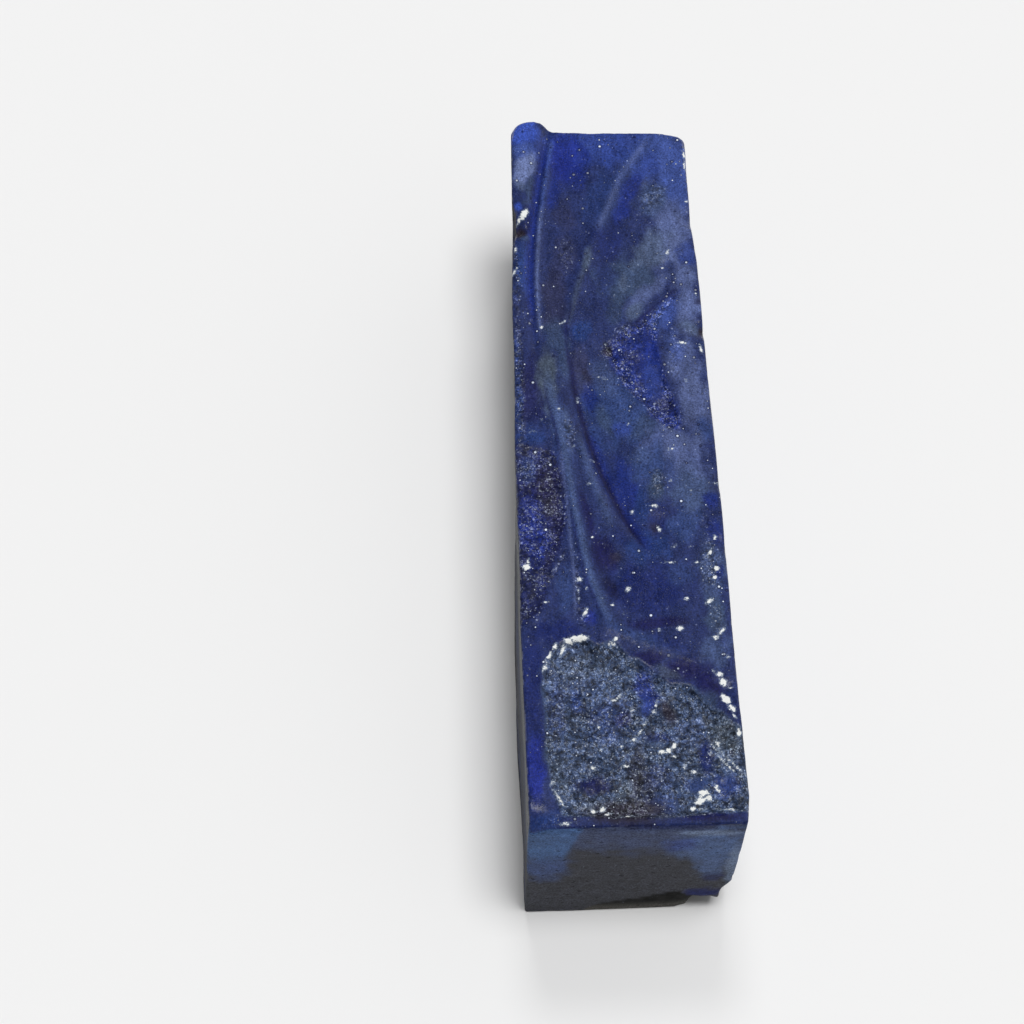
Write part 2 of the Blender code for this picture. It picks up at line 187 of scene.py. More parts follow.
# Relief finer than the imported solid's: sugary steps in the scars, ripples on the glassy
# parts, crumbled edges
SUGAR_HEIGHTS = ((0.9, 0.12), (0.45, 0.08))
FINE_SCAR_SHARE = 0.3
SUGAR_BORDER = (-0.1, 0.5)
SUGAR_LEVEL = 0.3
RIPPLE_SIZE = Vector((0.9, 3.6, 2.0))
RIPPLE_HEIGHT = 0.025
EDGE_CRUMBLE = 0.16
EDGE_CRUMBLE_SIZE = Vector((0.8, 0.9, 0.8))

# Colours of the stone as they look under this light, in 8-bit sRGB
PALETTE = {
    "ink": (22, 24, 58),
    "night": (30, 32, 79),
    "midnight": (34, 44, 97),
    "navy": (44, 54, 99),
    "royal": (33, 47, 140),
    "deep": (33, 48, 122),
    "teal": (43, 62, 117),
    "blue": (52, 70, 139),
    "azure": (65, 84, 150),
    "vivid": (62, 86, 178),
    "steel": (54, 71, 120),
    "slate": (60, 75, 106),
    "mist": (71, 87, 128),
    # The pale haze and milk: milky stone in part, painted reflection in part
    "haze": (86, 99, 145),
    "milk": (106, 120, 166),
    "olive": (80, 94, 124),
    "moss": (77, 88, 103),
    "plum": (51, 55, 88),
    "grape": (40, 44, 87),
    "umber": (44, 39, 50),
    # The next two whites are painted highlights: the glints' white and the sparkle points' white.
    "painted_glint_white": (240, 242, 240),
    "painted_sparkle_white": (228, 238, 255),
    "pearl": (206, 216, 230),
    "frost": (150, 164, 184),
    "saw_grey": (58, 59, 64),
    "saw_slate": (62, 69, 92),
    "saw_blue": (60, 71, 102),
    "saw_teal": (70, 85, 117),
    "saw_deep": (56, 66, 110),
    "saw_pale": (64, 84, 119),
    "saw_smear": (90, 102, 124),
    "saw_night": (40, 43, 74),
    "saw_khaki": (130, 131, 132),
    # A painted penumbra grey, and a black for painted shade under the near end's break that also serves
    # the dark pits and the darker foot
    "penumbra_grey": (72, 71, 68),
    "black_and_shade": (18, 17, 21),
}

# Colour patches of the top face: centre, half-lengths across and along, colour, strength
# and turn in degrees (a positive turn swings the far end to the left). Later patches lie
# over earlier ones. The pale haze and milk patches are milky stone in part and painted
# reflection in part.
Patch = namedtuple("Patch", "x y across along colour strength turn", defaults=(1.0, 0))
TOP_PATCHES = tuple(starmap(Patch, (
    # the far third
    (0.5, 41.0, 6.0, 3.4, "blue"), (7.6, 39.0, 2.8, 5.2, "azure"), (8.8, 33.6, 1.3, 3.6, "azure", 0.8),
    (-3.9, 39.2, 2.2, 4.0, "royal", 0.7, -8), (-5.5, 34.0, 0.8, 2.4, "deep", 0.7, -10),
    (-2.4, 37.0, 1.2, 2.8, "deep", 0.5, -15), (-4.4, 31.2, 1.2, 2.4, "plum", 0.6),
    (-0.6, 33.6, 1.4, 4.2, "teal", 0.5, -20), (4.9, 37.4, 1.2, 3.2, "blue", 1.0, -30),
    (3.2, 34.6, 0.9, 2.6, "deep", 0.9, -27), (2.0, 31.4, 0.9, 2.0, "deep", 0.8, -25),
    (5.8, 33.0, 1.8, 2.6, "mist", 0.9, -20), (3.8, 29.6, 1.4, 1.8, "navy", 0.7, -30),
    (7.5, 28.0, 2.4, 4.8, "haze", 1.0, -8), (7.2, 27.0, 0.9, 2.2, "milk", 0.35, -15),
    (5.0, 26.0, 1.6, 3.4, "olive", 0.85, -30), (6.8, 24.0, 0.7, 0.8, "navy", 0.6),
    (9.0, 25.4, 1.0, 1.6, "blue", 0.7), (8.7, 22.6, 1.3, 1.7, "haze"),
    (2.2, 22.2, 3.6, 3.2, "slate", 0.95, 20), (3.2, 24.6, 1.0, 1.4, "olive", 0.5, -30),
    (0.4, 27.6, 1.8, 2.6, "midnight", 0.8, -15), (0.0, 22.4, 1.2, 2.6, "midnight", 0.6),
    (-2.1, 25.0, 0.5, 1.8, "olive", 0.8, -10), (1.7, 21.7, 0.4, 1.5, "olive", 0.9, -4),
    (-4.5, 25.6, 1.3, 3.0, "plum", 0.6), (-5.9, 20.0, 1.4, 5.0, "plum", 0.95, -3),
    (-6.4, 27.0, 0.7, 3.2, "navy", 0.9, -4),
    # the lip and the left strip
    (-8.4, 42.2, 2.0, 1.9, "vivid"), (-8.7, 39.6, 1.4, 1.3, "azure", 0.9),
    (-7.3, 39.6, 0.5, 2.0, "blue", 0.8, -8), (-8.7, 37.0, 1.2, 2.3, "milk", 0.9, -14),
    (-9.1, 34.8, 0.7, 0.8, "olive", 0.6), (-8.2, 34.0, 0.5, 2.4, "slate", 0.7, -12),
    (-9.2, 33.2, 0.9, 0.9, "navy"), (-9.5, 31.8, 0.6, 0.6, "vivid", 0.9),
    (-8.5, 31.0, 0.6, 1.4, "midnight", 0.8, -10), (-9.4, 28.8, 0.9, 0.9, "umber"),
    (-8.3, 29.6, 0.4, 0.9, "ink", 0.7, -15), (-8.7, 27.9, 0.8, 0.5, "slate", 0.9),
    (-9.2, 23.4, 1.0, 4.2, "teal"), (-9.0, 24.0, 0.3, 2.8, "blue", 0.7, -6),
    (-9.3, 18.4, 1.0, 3.2, "navy", 0.9),
    # the middle third
    (4.4, 20.5, 0.9, 3.6, "haze", 0.75, -46), (2.8, 17.9, 0.7, 1.5, "olive", 0.8, -40),
    (-1.6, 18.4, 2.0, 3.0, "navy", 0.9), (0.8, 18.6, 1.0, 2.4, "slate", 0.6, -10),
    (-3.2, 15.6, 1.1, 1.2, "teal"), (-6.2, 15.4, 1.2, 2.2, "slate", 0.7), (8.6, 18.6, 1.6, 2.8, "haze"),
    (6.7, 18.0, 0.6, 2.4, "deep", 0.7, -12), (8.7, 16.0, 1.1, 0.9, "olive", 0.8),
    (10.0, 15.4, 0.6, 0.6, "umber"), (10.0, 19.2, 0.7, 0.5, "plum", 0.9),
    (7.8, 11.8, 1.9, 4.2, "haze", 0.8), (6.8, 13.6, 1.0, 2.4, "azure", 0.6),
    (9.0, 6.8, 1.7, 3.8, "milk", 0.5), (7.6, 14.6, 0.7, 0.5, "navy", 0.9),
    (-9.0, 8.4, 1.3, 5.0, "grape"), (-10.3, 8.0, 0.5, 8.0, "teal", 0.7),
    (-7.0, 9.0, 1.2, 4.4, "moss", 1.0, 2), (-5.2, 12.4, 0.8, 3.0, "slate", 0.7),
    (-3.4, 11.0, 1.1, 2.8, "plum", 0.9), (-2.8, 9.8, 0.7, 1.2, "umber", 0.35),
    (0.6, 5.4, 4.0, 4.6, "steel", 1.0, 20), (-0.9, 9.6, 1.2, 2.6, "mist", 0.5, 20),
    (-2.4, 7.0, 0.8, 2.0, "deep", 0.7, 15), (-1.2, 4.4, 0.8, 2.2, "slate", 0.8, 15),
    (0.5, 3.0, 1.0, 1.1, "blue", 0.8), (3.0, 3.4, 1.6, 1.8, "slate", 0.6),
    (-5.6, 3.0, 1.1, 3.4, "mist", 1.0, 8), (-5.2, 1.4, 0.6, 0.9, "umber", 0.5),
    (-8.6, 2.4, 1.5, 1.5, "teal", 0.9), (6.4, 0.8, 3.0, 2.8, "haze", 0.95),
    (9.5, 2.8, 1.0, 1.6, "steel", 0.8), (4.4, 0.8, 0.8, 1.2, "steel", 0.5),
    # around and below the crease
    (3.4, -1.6, 2.2, 2.6, "steel"), (2.6, -0.2, 1.2, 1.2, "mist", 0.5),
    (0.8, -3.6, 1.1, 3.6, "deep", 0.7, 14), (4.0, -4.0, 0.9, 2.0, "slate", 0.9),
    (2.4, -6.0, 0.9, 2.4, "teal", 0.8), (4.1, -7.6, 1.3, 1.8, "midnight", 0.8),
    (3.5, -8.8, 0.7, 0.6, "umber", 0.6), (7.6, -4.2, 2.2, 3.4, "mist"),
    (8.4, -1.8, 1.4, 1.4, "haze", 0.6), (9.6, -5.8, 0.8, 1.0, "deep", 0.8),
    (6.8, -8.8, 1.8, 2.0, "steel", 0.9), (9.7, -9.8, 0.8, 1.8, "deep", 0.6),
    (2.6, -11.4, 2.4, 2.2, "teal", 0.8), (0.1, -10.0, 0.8, 1.4, "midnight", 0.5, 15),
    (-3.7, -7.2, 0.7, 3.4, "night", 1.0, 12), (-2.3, -12.0, 1.5, 2.6, "night", 1.0, 10),
    (-0.8, -12.4, 0.7, 0.6, "umber", 0.6), (2.2, -16.4, 4.4, 3.4, "midnight"),
    (-1.5, -16.0, 0.8, 1.5, "ink", 0.8, 18), (5.8, -14.4, 1.4, 1.8, "steel", 0.5),
    (6.5, -19.2, 2.4, 1.4, "navy", 0.9), (5.2, -20.2, 1.0, 0.7, "umber", 0.4),
    (9.1, -14.0, 1.5, 3.6, "mist", 0.8), (9.2, -19.4, 1.2, 2.4, "slate", 0.9),
    (9.9, -14.4, 0.4, 1.0, "deep", 0.7), (-9.2, -9.4, 1.8, 4.6, "deep"),
    (-9.4, -7.6, 1.0, 1.4, "deep", 0.6), (-8.0, -3.2, 2.4, 3.0, "grape"),
    (-7.0, -8.6, 0.8, 3.6, "grape", 0.9, 2), (-6.6, -6.6, 0.4, 2.2, "umber", 0.4),
    (-7.8, -12.6, 0.5, 1.3, "umber", 0.5, -30), (-6.2, -16.0, 0.9, 3.0, "steel", 0.7),
    (-9.4, -17.4, 1.2, 3.4, "navy", 0.8), (-7.4, -20.8, 2.6, 1.4, "midnight"),
    (-3.7, -19.6, 0.7, 0.9, "royal", 0.5), (2.2, -20.4, 3.8, 0.8, "night", 0.9, 8),
    (8.7, -23.4, 1.8, 1.8, "mist", 0.8),
    # the dark hollow beside the broken scar and the left strip
    (2.2, -23.9, 3.2, 1.0, "night", 1.0, 28), (5.6, -25.5, 2.4, 1.6, "night", 1.0, 25),
    (7.9, -27.6, 1.5, 2.2, "night", 1.0, 20), (-9.8, -25.5, 1.1, 4.4, "midnight"),
    (-10.0, -31.0, 0.9, 3.6, "midnight"), (-10.0, -36.4, 0.9, 3.6, "royal", 0.75),
    (-9.3, -41.6, 1.7, 1.2, "teal", 0.9),
)))

# Patches on the scars' floors
SCAR_PATCHES = tuple(starmap(Patch, (
    (-5.8, -26.0, 2.8, 3.4, "mist", 0.6), (-5.0, -24.6, 3.0, 1.6, "moss", 0.4),
    (-3.0, -30.4, 1.8, 1.6, "navy", 0.6), (2.2, -37.0, 1.4, 1.6, "navy", 0.6),
    (-7.6, -30.0, 1.0, 4.0, "navy", 0.5), (-7.4, -36.6, 1.2, 2.0, "moss", 0.5),
    (3.8, -25.8, 1.8, 0.7, "moss", 0.5, -28), (-5.5, -28.6, 0.9, 1.5, "teal", 0.9, 10),
    (-2.0, -31.0, 2.4, 2.6, "steel", 0.6), (1.7, -27.6, 1.2, 2.6, "deep", 0.8, 5),
    (1.4, -29.6, 0.8, 1.0, "blue", 0.8), (-0.8, -30.7, 0.9, 0.9, "grape", 0.9),
    (3.7, -29.9, 0.8, 1.5, "umber", 0.9, 10), (5.6, -31.8, 1.7, 1.8, "mist", 0.7),
    (6.9, -29.5, 2.2, 1.4, "slate", 0.9, 28), (9.4, -33.2, 1.6, 2.4, "moss", 0.8, 20),
    (2.4, -32.8, 1.6, 0.6, "midnight", 0.7, -10), (-6.2, -34.6, 2.2, 2.6, "slate", 0.8),
    (-4.2, -37.9, 1.8, 1.1, "night", 0.9), (0.2, -36.2, 0.9, 3.0, "umber", 0.55, -10),
    (-1.3, -38.8, 0.9, 1.6, "moss", 0.6, -20), (3.4, -37.6, 1.2, 0.9, "mist", 0.4),
    (2.3, -39.9, 1.9, 1.2, "steel", 0.9), (6.0, -38.0, 1.3, 0.9, "steel", 0.9, 30),
    (7.2, -35.0, 0.9, 2.2, "midnight", 0.9), (8.8, -38.2, 1.5, 1.6, "blue", 0.7),
    (-3.2, -40.2, 2.8, 0.9, "moss", 0.5), (4.3, 9.2, 1.1, 3.4, "blue", 0.6, 5),
    (4.4, 13.0, 0.9, 1.8, "deep", 0.6), (6.2, 17.8, 1.3, 2.4, "azure", 0.7, -30),
    (2.2, 12.2, 1.1, 1.2, "grape", 0.5), (-0.3, 13.1, 0.7, 0.8, "umber", 0.9),
    (5.3, 6.2, 1.2, 1.2, "grape", 0.7), (5.2, 6.3, 0.8, 0.7, "plum", 0.2),
    (-9.3, -9.4, 1.7, 4.2, "deep", 0.7), (-9.6, -1.6, 0.9, 1.6, "steel", 0.5),
    (-7.4, -4.6, 1.2, 3.4, "umber", 0.35), (4.4, -22.7, 2.6, 0.8, "midnight", 0.5, -25),
    (-1.0, -40.9, 5.0, 1.5, "umber", 0.9), (0.6, -38.6, 1.6, 2.0, "umber", 0.5, -20),
    (7.0, -41.7, 3.4, 0.5, "night", 0.9),
)))
SCAR_COLOURS = ("slate", "deep", "night")
SCAR_COLOUR_STRENGTHS = (1.0, 0.8, 0.5)

# Where a scar's colour starts and is full, inside its outline, and how far borders wander
SCAR_BORDER = (-0.2, 0.25)
BORDER_DRIFT = 0.3

# Lines of colour along the folds: path, half-width, shift to its +X side, colour, strength.
# The pale lines on the crests and the straight beaded line near x = -5.2 are painted
# highlight in part; the dark night and ink lines, along the crease and in the grooves by
# the crests and scar walls, are painted shade.
Line = namedtuple("Line", "path half_width shift colour strength")
TOP_LINES = (
    Line(LIP_CREST, 0.45, -0.7, "deep", 0.85),
    Line(LIP_CREST[:4], 0.24, 0.05, "azure", 0.8),
    Line(LIP_CREST[2:], 0.22, 0.05, "haze", 0.9),
    Line(SOFT_CREST[:8], 0.85, 0.1, "steel", 0.5),
    Line(SOFT_CREST[:5], 0.45, 0.0, "azure", 0.7),
    Line(SOFT_CREST[:8], 0.35, 0.0, "haze", 0.6),
    Line(SOFT_CREST[8:], 0.35, 0.0, "moss", 0.45),
    Line(MAIN_CREST, 0.7, 0.0, "steel", 0.85),
    Line(MAIN_CREST[:11], 0.35, 0.1, "mist", 0.8),
    Line(MAIN_CREST[:11], 0.16, -0.45, "night", 0.7),
    Line(((-6.2, 2.0), (-5.7, -4.0), (-5.4, -10.0), (-5.2, -15.0), (-5.3, -20.5)), 0.17, 0.0, "haze",
         0.8),
    Line(BANK_CREST, 0.5, 0.0, "mist", 0.6),
    Line(CREASE[3:], 0.6, 0.4, "deep", 0.7),
    Line(CREASE, 0.36, 0.05, "night", 0.9),
    Line(CREASE, 0.22, 0.0, "ink", 0.75),
    Line(((7.9, 21.3), (5.0, 18.6), (2.2, 15.8)), 0.16, 0.0, "night", 0.8),
    Line(((-3.9, 20.0), (-4.4, 17.6), (-4.8, 16.0), (-4.8, 13.0), (-4.6, 11.0)), 0.16, 0.0, "night",
         0.7),
)
LINE_FADE = 0.15

# Patches of the sawn near end, with heights in place of places along the bar
NEAR_PATCHES = tuple(starmap(Patch, (
    (1.0, 21.2, 13.0, 4.6, "saw_slate", 0.9), (-9.0, 13.6, 2.6, 4.4, "saw_blue", 0.9),
    (7.6, 18.0, 4.4, 4.4, "saw_teal", 0.9), (4.6, 18.4, 1.9, 1.8, "saw_deep", 0.8),
    (8.0, 13.0, 1.8, 4.0, "saw_teal", 0.7), (10.3, 12.6, 0.8, 5.6, "saw_smear", 0.8),
    (7.4, 21.4, 3.4, 0.7, "saw_smear", 0.9, -3), (3.0, 23.2, 4.4, 0.6, "saw_night", 0.6),
    (8.5, 9.2, 1.2, 1.1, "saw_night", 0.6), (7.8, 4.6, 2.6, 1.3, "saw_night", 1.0, 8),
)))

# The near end's paler upper left corner, the colours of the break below it, the light it
# gets, and how far its colours and the break's reach along the stone. Below the break's
# edge the black is partly the break's own dark and partly painted shade of the hollow,
# grading to a painted penumbra grey towards the floor.
PALE_CORNER_SIDE = -5.4
PALE_CORNER_LEAN = 0.2
PALE_CORNER_BLUR = 0.35
PALE_CORNER_HEIGHTS = (13.5, 17.5)
PALE_CORNER_COVER = 0.9
CHIP_BORDER = (-0.1, 0.25)
CHIP_COLOUR_END = 7.4
CHIP_END_BLUR = 0.4
CHIP_PENUMBRA_HEIGHTS = (2.6, 0.3)
NEAR_GAIN = 0.6
NEAR_SHEEN = 0.012
NEAR_REACH = 1.0
NEAR_FULL = 0.4
CHIP_BLUR = 0.3
CHIP_REACH = 5.0

# Clouds of colour on the sawn sides: colour, size, how their noise is shifted across and
# leans along, its range and their strength
Cloud = namedtuple("Cloud", "colour size shift lean border strength")
SIDE_CLOUDS = (
    Cloud("saw_blue", Vector((5.0, 9.0, 5.0)), 0.0, 0.0, (-0.6, 0.7), 0.85),
    Cloud("saw_deep", Vector((3.0, 6.0, 3.0)), 20.0, 0.0, (-0.1, 0.7), 0.7),
    Cloud("saw_slate", Vector((1.2, 2.4, 1.2)), 0.0, 0.6, (0.25, 0.5), 0.6),
)

# The khaki along the top of the left face, and the darker foot of the stone
KHAKI_SIDE = (-9.2, -9.9)
KHAKI_FAR_END = (16.0, 4.0)
KHAKI_HEIGHTS = (14.0, 20.0)
KHAKI_COVER = (0.2, 0.85)
DARK_FOOT_HEIGHTS = (1.6, 0.4)
DARK_FOOT_RAG = 0.8
DARK_FOOT_RAG_SIZE = Vector((2.0, 2.0, 2.0))
DARK_FOOT_COVER = 0.6

# Bright glints, painted highlights of light on small facets. Centre, half-lengths and turn in degrees.
PaintedGlint = namedtuple("PaintedGlint", "x y across along turn", defaults=(0,))
PAINTED_GLINTS = tuple(starmap(PaintedGlint, (
    (-8.9, 30.8, 0.34, 0.8, -35), (-9.5, 30.2, 0.16, 0.4, -25), (6.9, 25.8, 0.14, 0.3, -20),
    (6.3, 23.9, 0.13, 0.13), (-10.2, 23.4, 0.14, 0.6, -25), (9.55, 39.2, 0.12, 0.5),
    (9.5, 37.6, 0.1, 0.4), (9.4, 32.6, 0.16, 0.16), (-10.0, 26.2, 0.1, 0.3), (-7.5, 16.3, 0.16, 0.16),
    (-5.1, 16.8, 0.28, 0.1, 35), (9.7, 20.2, 0.12, 0.14), (7.75, 13.95, 0.42, 0.14, 5),
    (9.8, 13.0, 0.12, 0.5, 10), (-0.55, 13.9, 0.12, 0.12), (-1.1, 13.0, 0.1, 0.1),
    (-1.2, 9.7, 0.4, 0.09, -20), (7.85, 9.1, 0.11, 0.16), (-3.9, 7.1, 0.1, 0.25),
    (-6.0, 5.65, 0.12, 0.12), (-7.9, 4.4, 0.16, 0.12), (-8.8, 2.9, 0.35, 0.12), (1.35, 3.7, 0.13, 0.13),
    (5.45, 0.5, 0.14, 0.14), (5.85, 0.5, 0.14, 0.14), (-4.6, 1.1, 0.12, 0.15), (-2.8, -0.55, 0.2, 0.12),
    (-3.1, -3.5, 0.22, 0.14, 20), (5.45, -3.35, 0.16, 0.14), (3.65, -6.3, 0.36, 0.2),
    (1.25, -6.85, 0.16, 0.2), (3.95, -9.0, 0.18, 0.36, 20), (7.5, -4.5, 0.11, 0.11),
    (10.1, -3.6, 0.4, 0.12), (-3.1, -10.0, 0.12, 0.12), (9.7, -10.2, 0.2, 0.24),
    (5.4, -11.2, 0.24, 0.12, 25), (7.0, -11.35, 0.12, 0.12), (4.9, -13.2, 0.45, 0.08),
    (-10.1, -13.3, 0.45, 0.3), (-9.9, -12.6, 0.14, 0.3, -30), (9.65, -14.0, 0.3, 0.3),
    (9.4, -15.0, 0.24, 0.24, 30), (8.6, -12.6, 0.2, 0.12, 30), (9.1, -12.0, 0.16, 0.3, -30),
    (7.6, -13.2, 0.26, 0.12, 15), (-4.7, -15.05, 0.26, 0.22), (0.35, -16.2, 0.2, 0.36, -35),
    (-4.85, -16.3, 0.13, 0.15), (-3.95, -16.2, 0.12, 0.15), (6.25, -17.55, 0.26, 0.2),
    (8.65, -17.8, 0.5, 0.2, 35), (-2.5, -17.35, 0.14, 0.12), (-1.4, -18.05, 0.15, 0.15),
    (-4.85, -17.3, 0.13, 0.13), (-4.25, -18.8, 0.16, 0.5, -25), (-0.2, -19.0, 0.12, 0.1),
    (5.4, -20.9, 0.36, 0.26), (3.3, -21.0, 0.14, 0.14), (9.0, -22.0, 0.32, 0.2),
    (9.7, -21.2, 0.2, 0.5, -40), (-8.3, -17.5, 0.2, 0.1), (10.1, -24.2, 0.16, 0.2),
    (-5.0, -21.75, 0.9, 0.32), (-6.1, -22.0, 0.5, 0.3, -20), (-6.7, -22.7, 0.18, 0.5, -25),
    (-7.5, -22.6, 0.24, 0.3, -20), (-8.1, -23.6, 0.18, 0.6, -30), (-8.6, -24.9, 0.18, 0.5, -25),
    (-7.2, -25.2, 0.3, 0.1), (-1.7, -22.5, 0.3, 0.18), (-1.3, -22.0, 0.25, 0.2, 30),
    (9.1, -26.2, 0.36, 0.3), (9.4, -27.0, 0.4, 0.36, 40), (8.5, -25.8, 0.14, 0.14),
    (10.2, -27.6, 0.2, 0.12), (9.6, -29.0, 0.4, 0.6, 40), (10.1, -30.0, 0.26, 0.5, 40),
    (9.3, -28.4, 0.2, 0.2), (-1.6, -28.5, 0.42, 0.12, 25), (-1.2, -28.2, 0.12, 0.25, -30),
    (0.15, -29.7, 0.2, 0.14), (-3.4, -31.5, 0.14, 0.14), (0.1, -32.9, 0.18, 0.26, -30),
    (0.7, -32.2, 0.12, 0.3, -38), (1.3, -31.2, 0.1, 0.3, -30), (2.3, -29.8, 0.22, 0.2),
    (2.5, -29.0, 0.12, 0.3, -20), (-3.3, -34.0, 0.12, 0.12), (-1.2, -33.7, 0.14, 0.12),
    (2.8, -34.3, 0.3, 0.24), (3.5, -34.2, 0.4, 0.26, 15), (4.1, -33.7, 0.26, 0.3, -30),
    (3.9, -34.8, 0.26, 0.14), (-0.9, -35.8, 0.25, 0.16), (-4.2, -35.9, 0.26, 0.2),
    (-8.3, -37.6, 0.24, 0.18, 25), (-7.7, -39.3, 0.16, 0.85, 33), (6.7, -38.9, 0.5, 0.34),
    (6.3, -39.7, 0.6, 0.34, 30), (7.2, -39.4, 0.24, 0.3), (5.5, -40.5, 0.3, 0.2),
    (6.3, -40.6, 0.4, 0.14), (5.0, -36.0, 0.16, 0.3, -25), (5.9, -36.6, 0.26, 0.26, -20),
    (8.1, -38.6, 0.18, 0.5, 25), (9.0, -40.9, 0.8, 0.08, -8), (-4.4, -40.6, 0.3, 0.2),
    (-3.5, -40.4, 0.3, 0.3), (-3.0, -41.0, 0.3, 0.14, 20), (-1.2, -41.4, 0.7, 0.1, 8),
    (-7.2, -42.0, 0.5, 0.1), (8.4, -33.6, 0.16, 0.4, 20), (9.5, -35.6, 0.08, 1.6, 42),
    (9.0, -35.8, 0.07, 1.0, 40), (10.6, -32.6, 0.2, 0.4, 10), (10.3, -30.9, 0.12, 0.3, 20),
    (7.6, -34.6, 0.16, 0.16),
)))

# How far a painted glint is felt, its loss off the top face, its ragged outline, fringe and body
GLINT_REACH = 0.6
GLINT_LOSS = 3.0
GLINT_RAG_NOISE = (0.3, 4.0, 0.7)
GLINT_RAG = 0.8
GLINT_FRINGE = (-0.1, 0.04, 0.0, 0.6)
GLINT_BODY = (0.02, 0.08)

# Fields of fine pale grains: centre, half-lengths, density and turn
Grains = namedtuple("Grains", "x y across along density turn", defaults=(0,))
GRAINS = tuple(starmap(Grains, (
    (5.6, 33.4, 1.7, 2.6, 0.6, -20), (4.4, 30.6, 0.7, 2.4, 0.35, -35), (-4.4, 25.8, 1.1, 3.0, 0.45),
    (0.6, 24.6, 1.6, 0.9, 0.2), (-10.0, 22.0, 0.5, 6.0, 0.8), (-8.6, 17.6, 1.4, 1.6, 0.3),
    (-10.1, 9.0, 0.7, 11.0, 0.9), (9.6, 38.4, 0.3, 4.6, 0.5), (9.6, 30.5, 0.5, 4.0, 0.35),
    (6.8, 13.4, 1.1, 4.0, 0.4), (-0.2, 13.2, 1.2, 1.4, 0.75), (1.4, 15.6, 0.8, 1.6, 0.7, -50),
    (5.7, 4.3, 1.5, 1.9, 0.8, 20), (8.6, 15.4, 1.6, 0.6, 0.4), (-5.0, 2.8, 0.8, 2.2, 0.8, 5),
    (-4.8, -4.0, 0.5, 1.8, 0.3), (4.2, -3.4, 0.9, 1.8, 0.7), (9.0, -13.4, 1.4, 3.8, 0.8),
    (8.8, -8.2, 0.7, 1.0, 0.5), (9.3, -19.8, 1.0, 2.6, 0.55, 10), (-4.9, -15.4, 0.35, 5.6, 0.7),
    (-4.4, -19.4, 0.7, 1.8, 0.5), (-7.2, -13.8, 0.35, 3.6, 0.75, -27),
    (-9.7, -20.2, 0.7, 3.0, 0.45, -10), (-10.0, -12.8, 0.8, 1.6, 0.6), (9.2, -33.4, 1.8, 3.2, 1.0, 20),
    (5.6, -29.4, 2.4, 1.0, 0.9, 30), (4.2, -35.6, 2.2, 1.8, 0.9), (-3.2, -40.3, 3.6, 1.0, 1.0),
    (-6.0, -25.4, 3.0, 3.0, 0.9), (-6.6, -35.0, 2.2, 2.4, 0.85), (1.2, -31.4, 0.5, 2.4, 1.0, -33),
    (8.4, -40.4, 1.8, 0.7, 0.8), (-8.6, -41.6, 1.4, 0.6, 0.4, 30),
)))
SMOOTH_SPOTS = tuple(starmap(Grains, (
    (6.2, -38.0, 1.2, 0.9, 0.9, 30), (2.4, -40.2, 1.6, 0.9, 0.7), (-4.4, -37.9, 1.5, 0.9, 0.6),
    (8.9, -38.0, 1.2, 1.2, 0.7), (1.6, -28.8, 0.9, 1.8, 0.6, 5), (7.2, -35.2, 0.7, 1.8, 0.5),
    (3.7, -30.0, 0.8, 1.4, 0.5, 10), (4.2, 11.0, 1.3, 4.4, 0.75, 3), (2.0, -33.3, 1.4, 0.5, 0.6, -10),
)))

# The grain elsewhere and in each scar, the denser rim in the second scar, and the borders
PLAIN_GRAIN = 0.12
SCAR_GRAIN = (0.95, 0.65, 0.75)
SCAR_GRAIN_BORDER = (-0.1, 0.3)
SCAR_RIMS = (0.0, 1.0, 0.0)
RIM_MIDDLE = 0.5
RIM_WIDTH = 0.6
GRAINS_BORDER = (1.25, 0.4)
SMOOTH_BORDER = (1.2, 0.6)

# Layers of grains: cell size in mm and share of cells. Then their ragged outlines and
# their brightness.
GRAIN_LAYERS = ((0.16, 0.55), (0.27, 0.25))
GRAIN_WARP_SIZE = 0.25
GRAIN_WARP = 0.3
GRAIN_PALENESS = 0.45
GRAIN_GAIN = 3.2
GRAIN_EDGE = 0.1
GRAIN_BODY = (0.55, 0.3)
GRAIN_BRIGHTNESS = (0.85, 0.15)

# Layers of single bright points, painted sparkle: cell size in mm, chance in a cell, added
# chance in grainy places, and the darkness of the ring round a point
DOT_LAYERS = ((0.8, 0.16, 0.0, 0.7), (0.5, 0.08, 0.25, 0.6), (0.3, 0.01, 0.22, 0.4))
DOT_RADII = (0.06, 0.17)
DOT_RING = (-0.2, -0.06)
DOT_BODY = (-0.03, 0.05)
DOT_BRIGHTNESS = (0.25, 1.0)

# Noise textures of the material: size in mm, detail and roughness, the range of the noise
# that is used, and what it turns into at the start and end of that range
Texture = namedtuple("Texture", "size detail roughness low high start end", defaults=(0.0, 1.0))
CLOUDS = Texture(1.1, 5.0, 0.65, 0.3, 0.72, 0.78, 1.26)
MOTTLE = Texture(0.18, 3.0, 0.6, 0.3, 0.7, 0.6, 1.42)
PINHOLES = Texture(0.26, 2.0, 0.6, 0.6, 0.7, 0.0, 0.6)
HOLLOWS = Texture(0.5, 5.0, 0.8, 0.4, 0.6, 0.2, 1.25)
CRUMBS = Texture(0.26, 4.0, 0.8, 0.53, 0.66, 0.0, 0.55)
PITS = Texture(0.65, 3.0, 0.6, 0.62, 0.67)
CHIPS = Texture(0.4, 3.0, 0.7, 0.66, 0.72)
SAW_MARKS = Texture(1.0, 4.0, 0.7, 0.3, 0.7, 0.9, 1.1)
GLOSS = Texture(1.1, 3.0, 0.6, 0.3, 0.75, 0.2, 0.36)

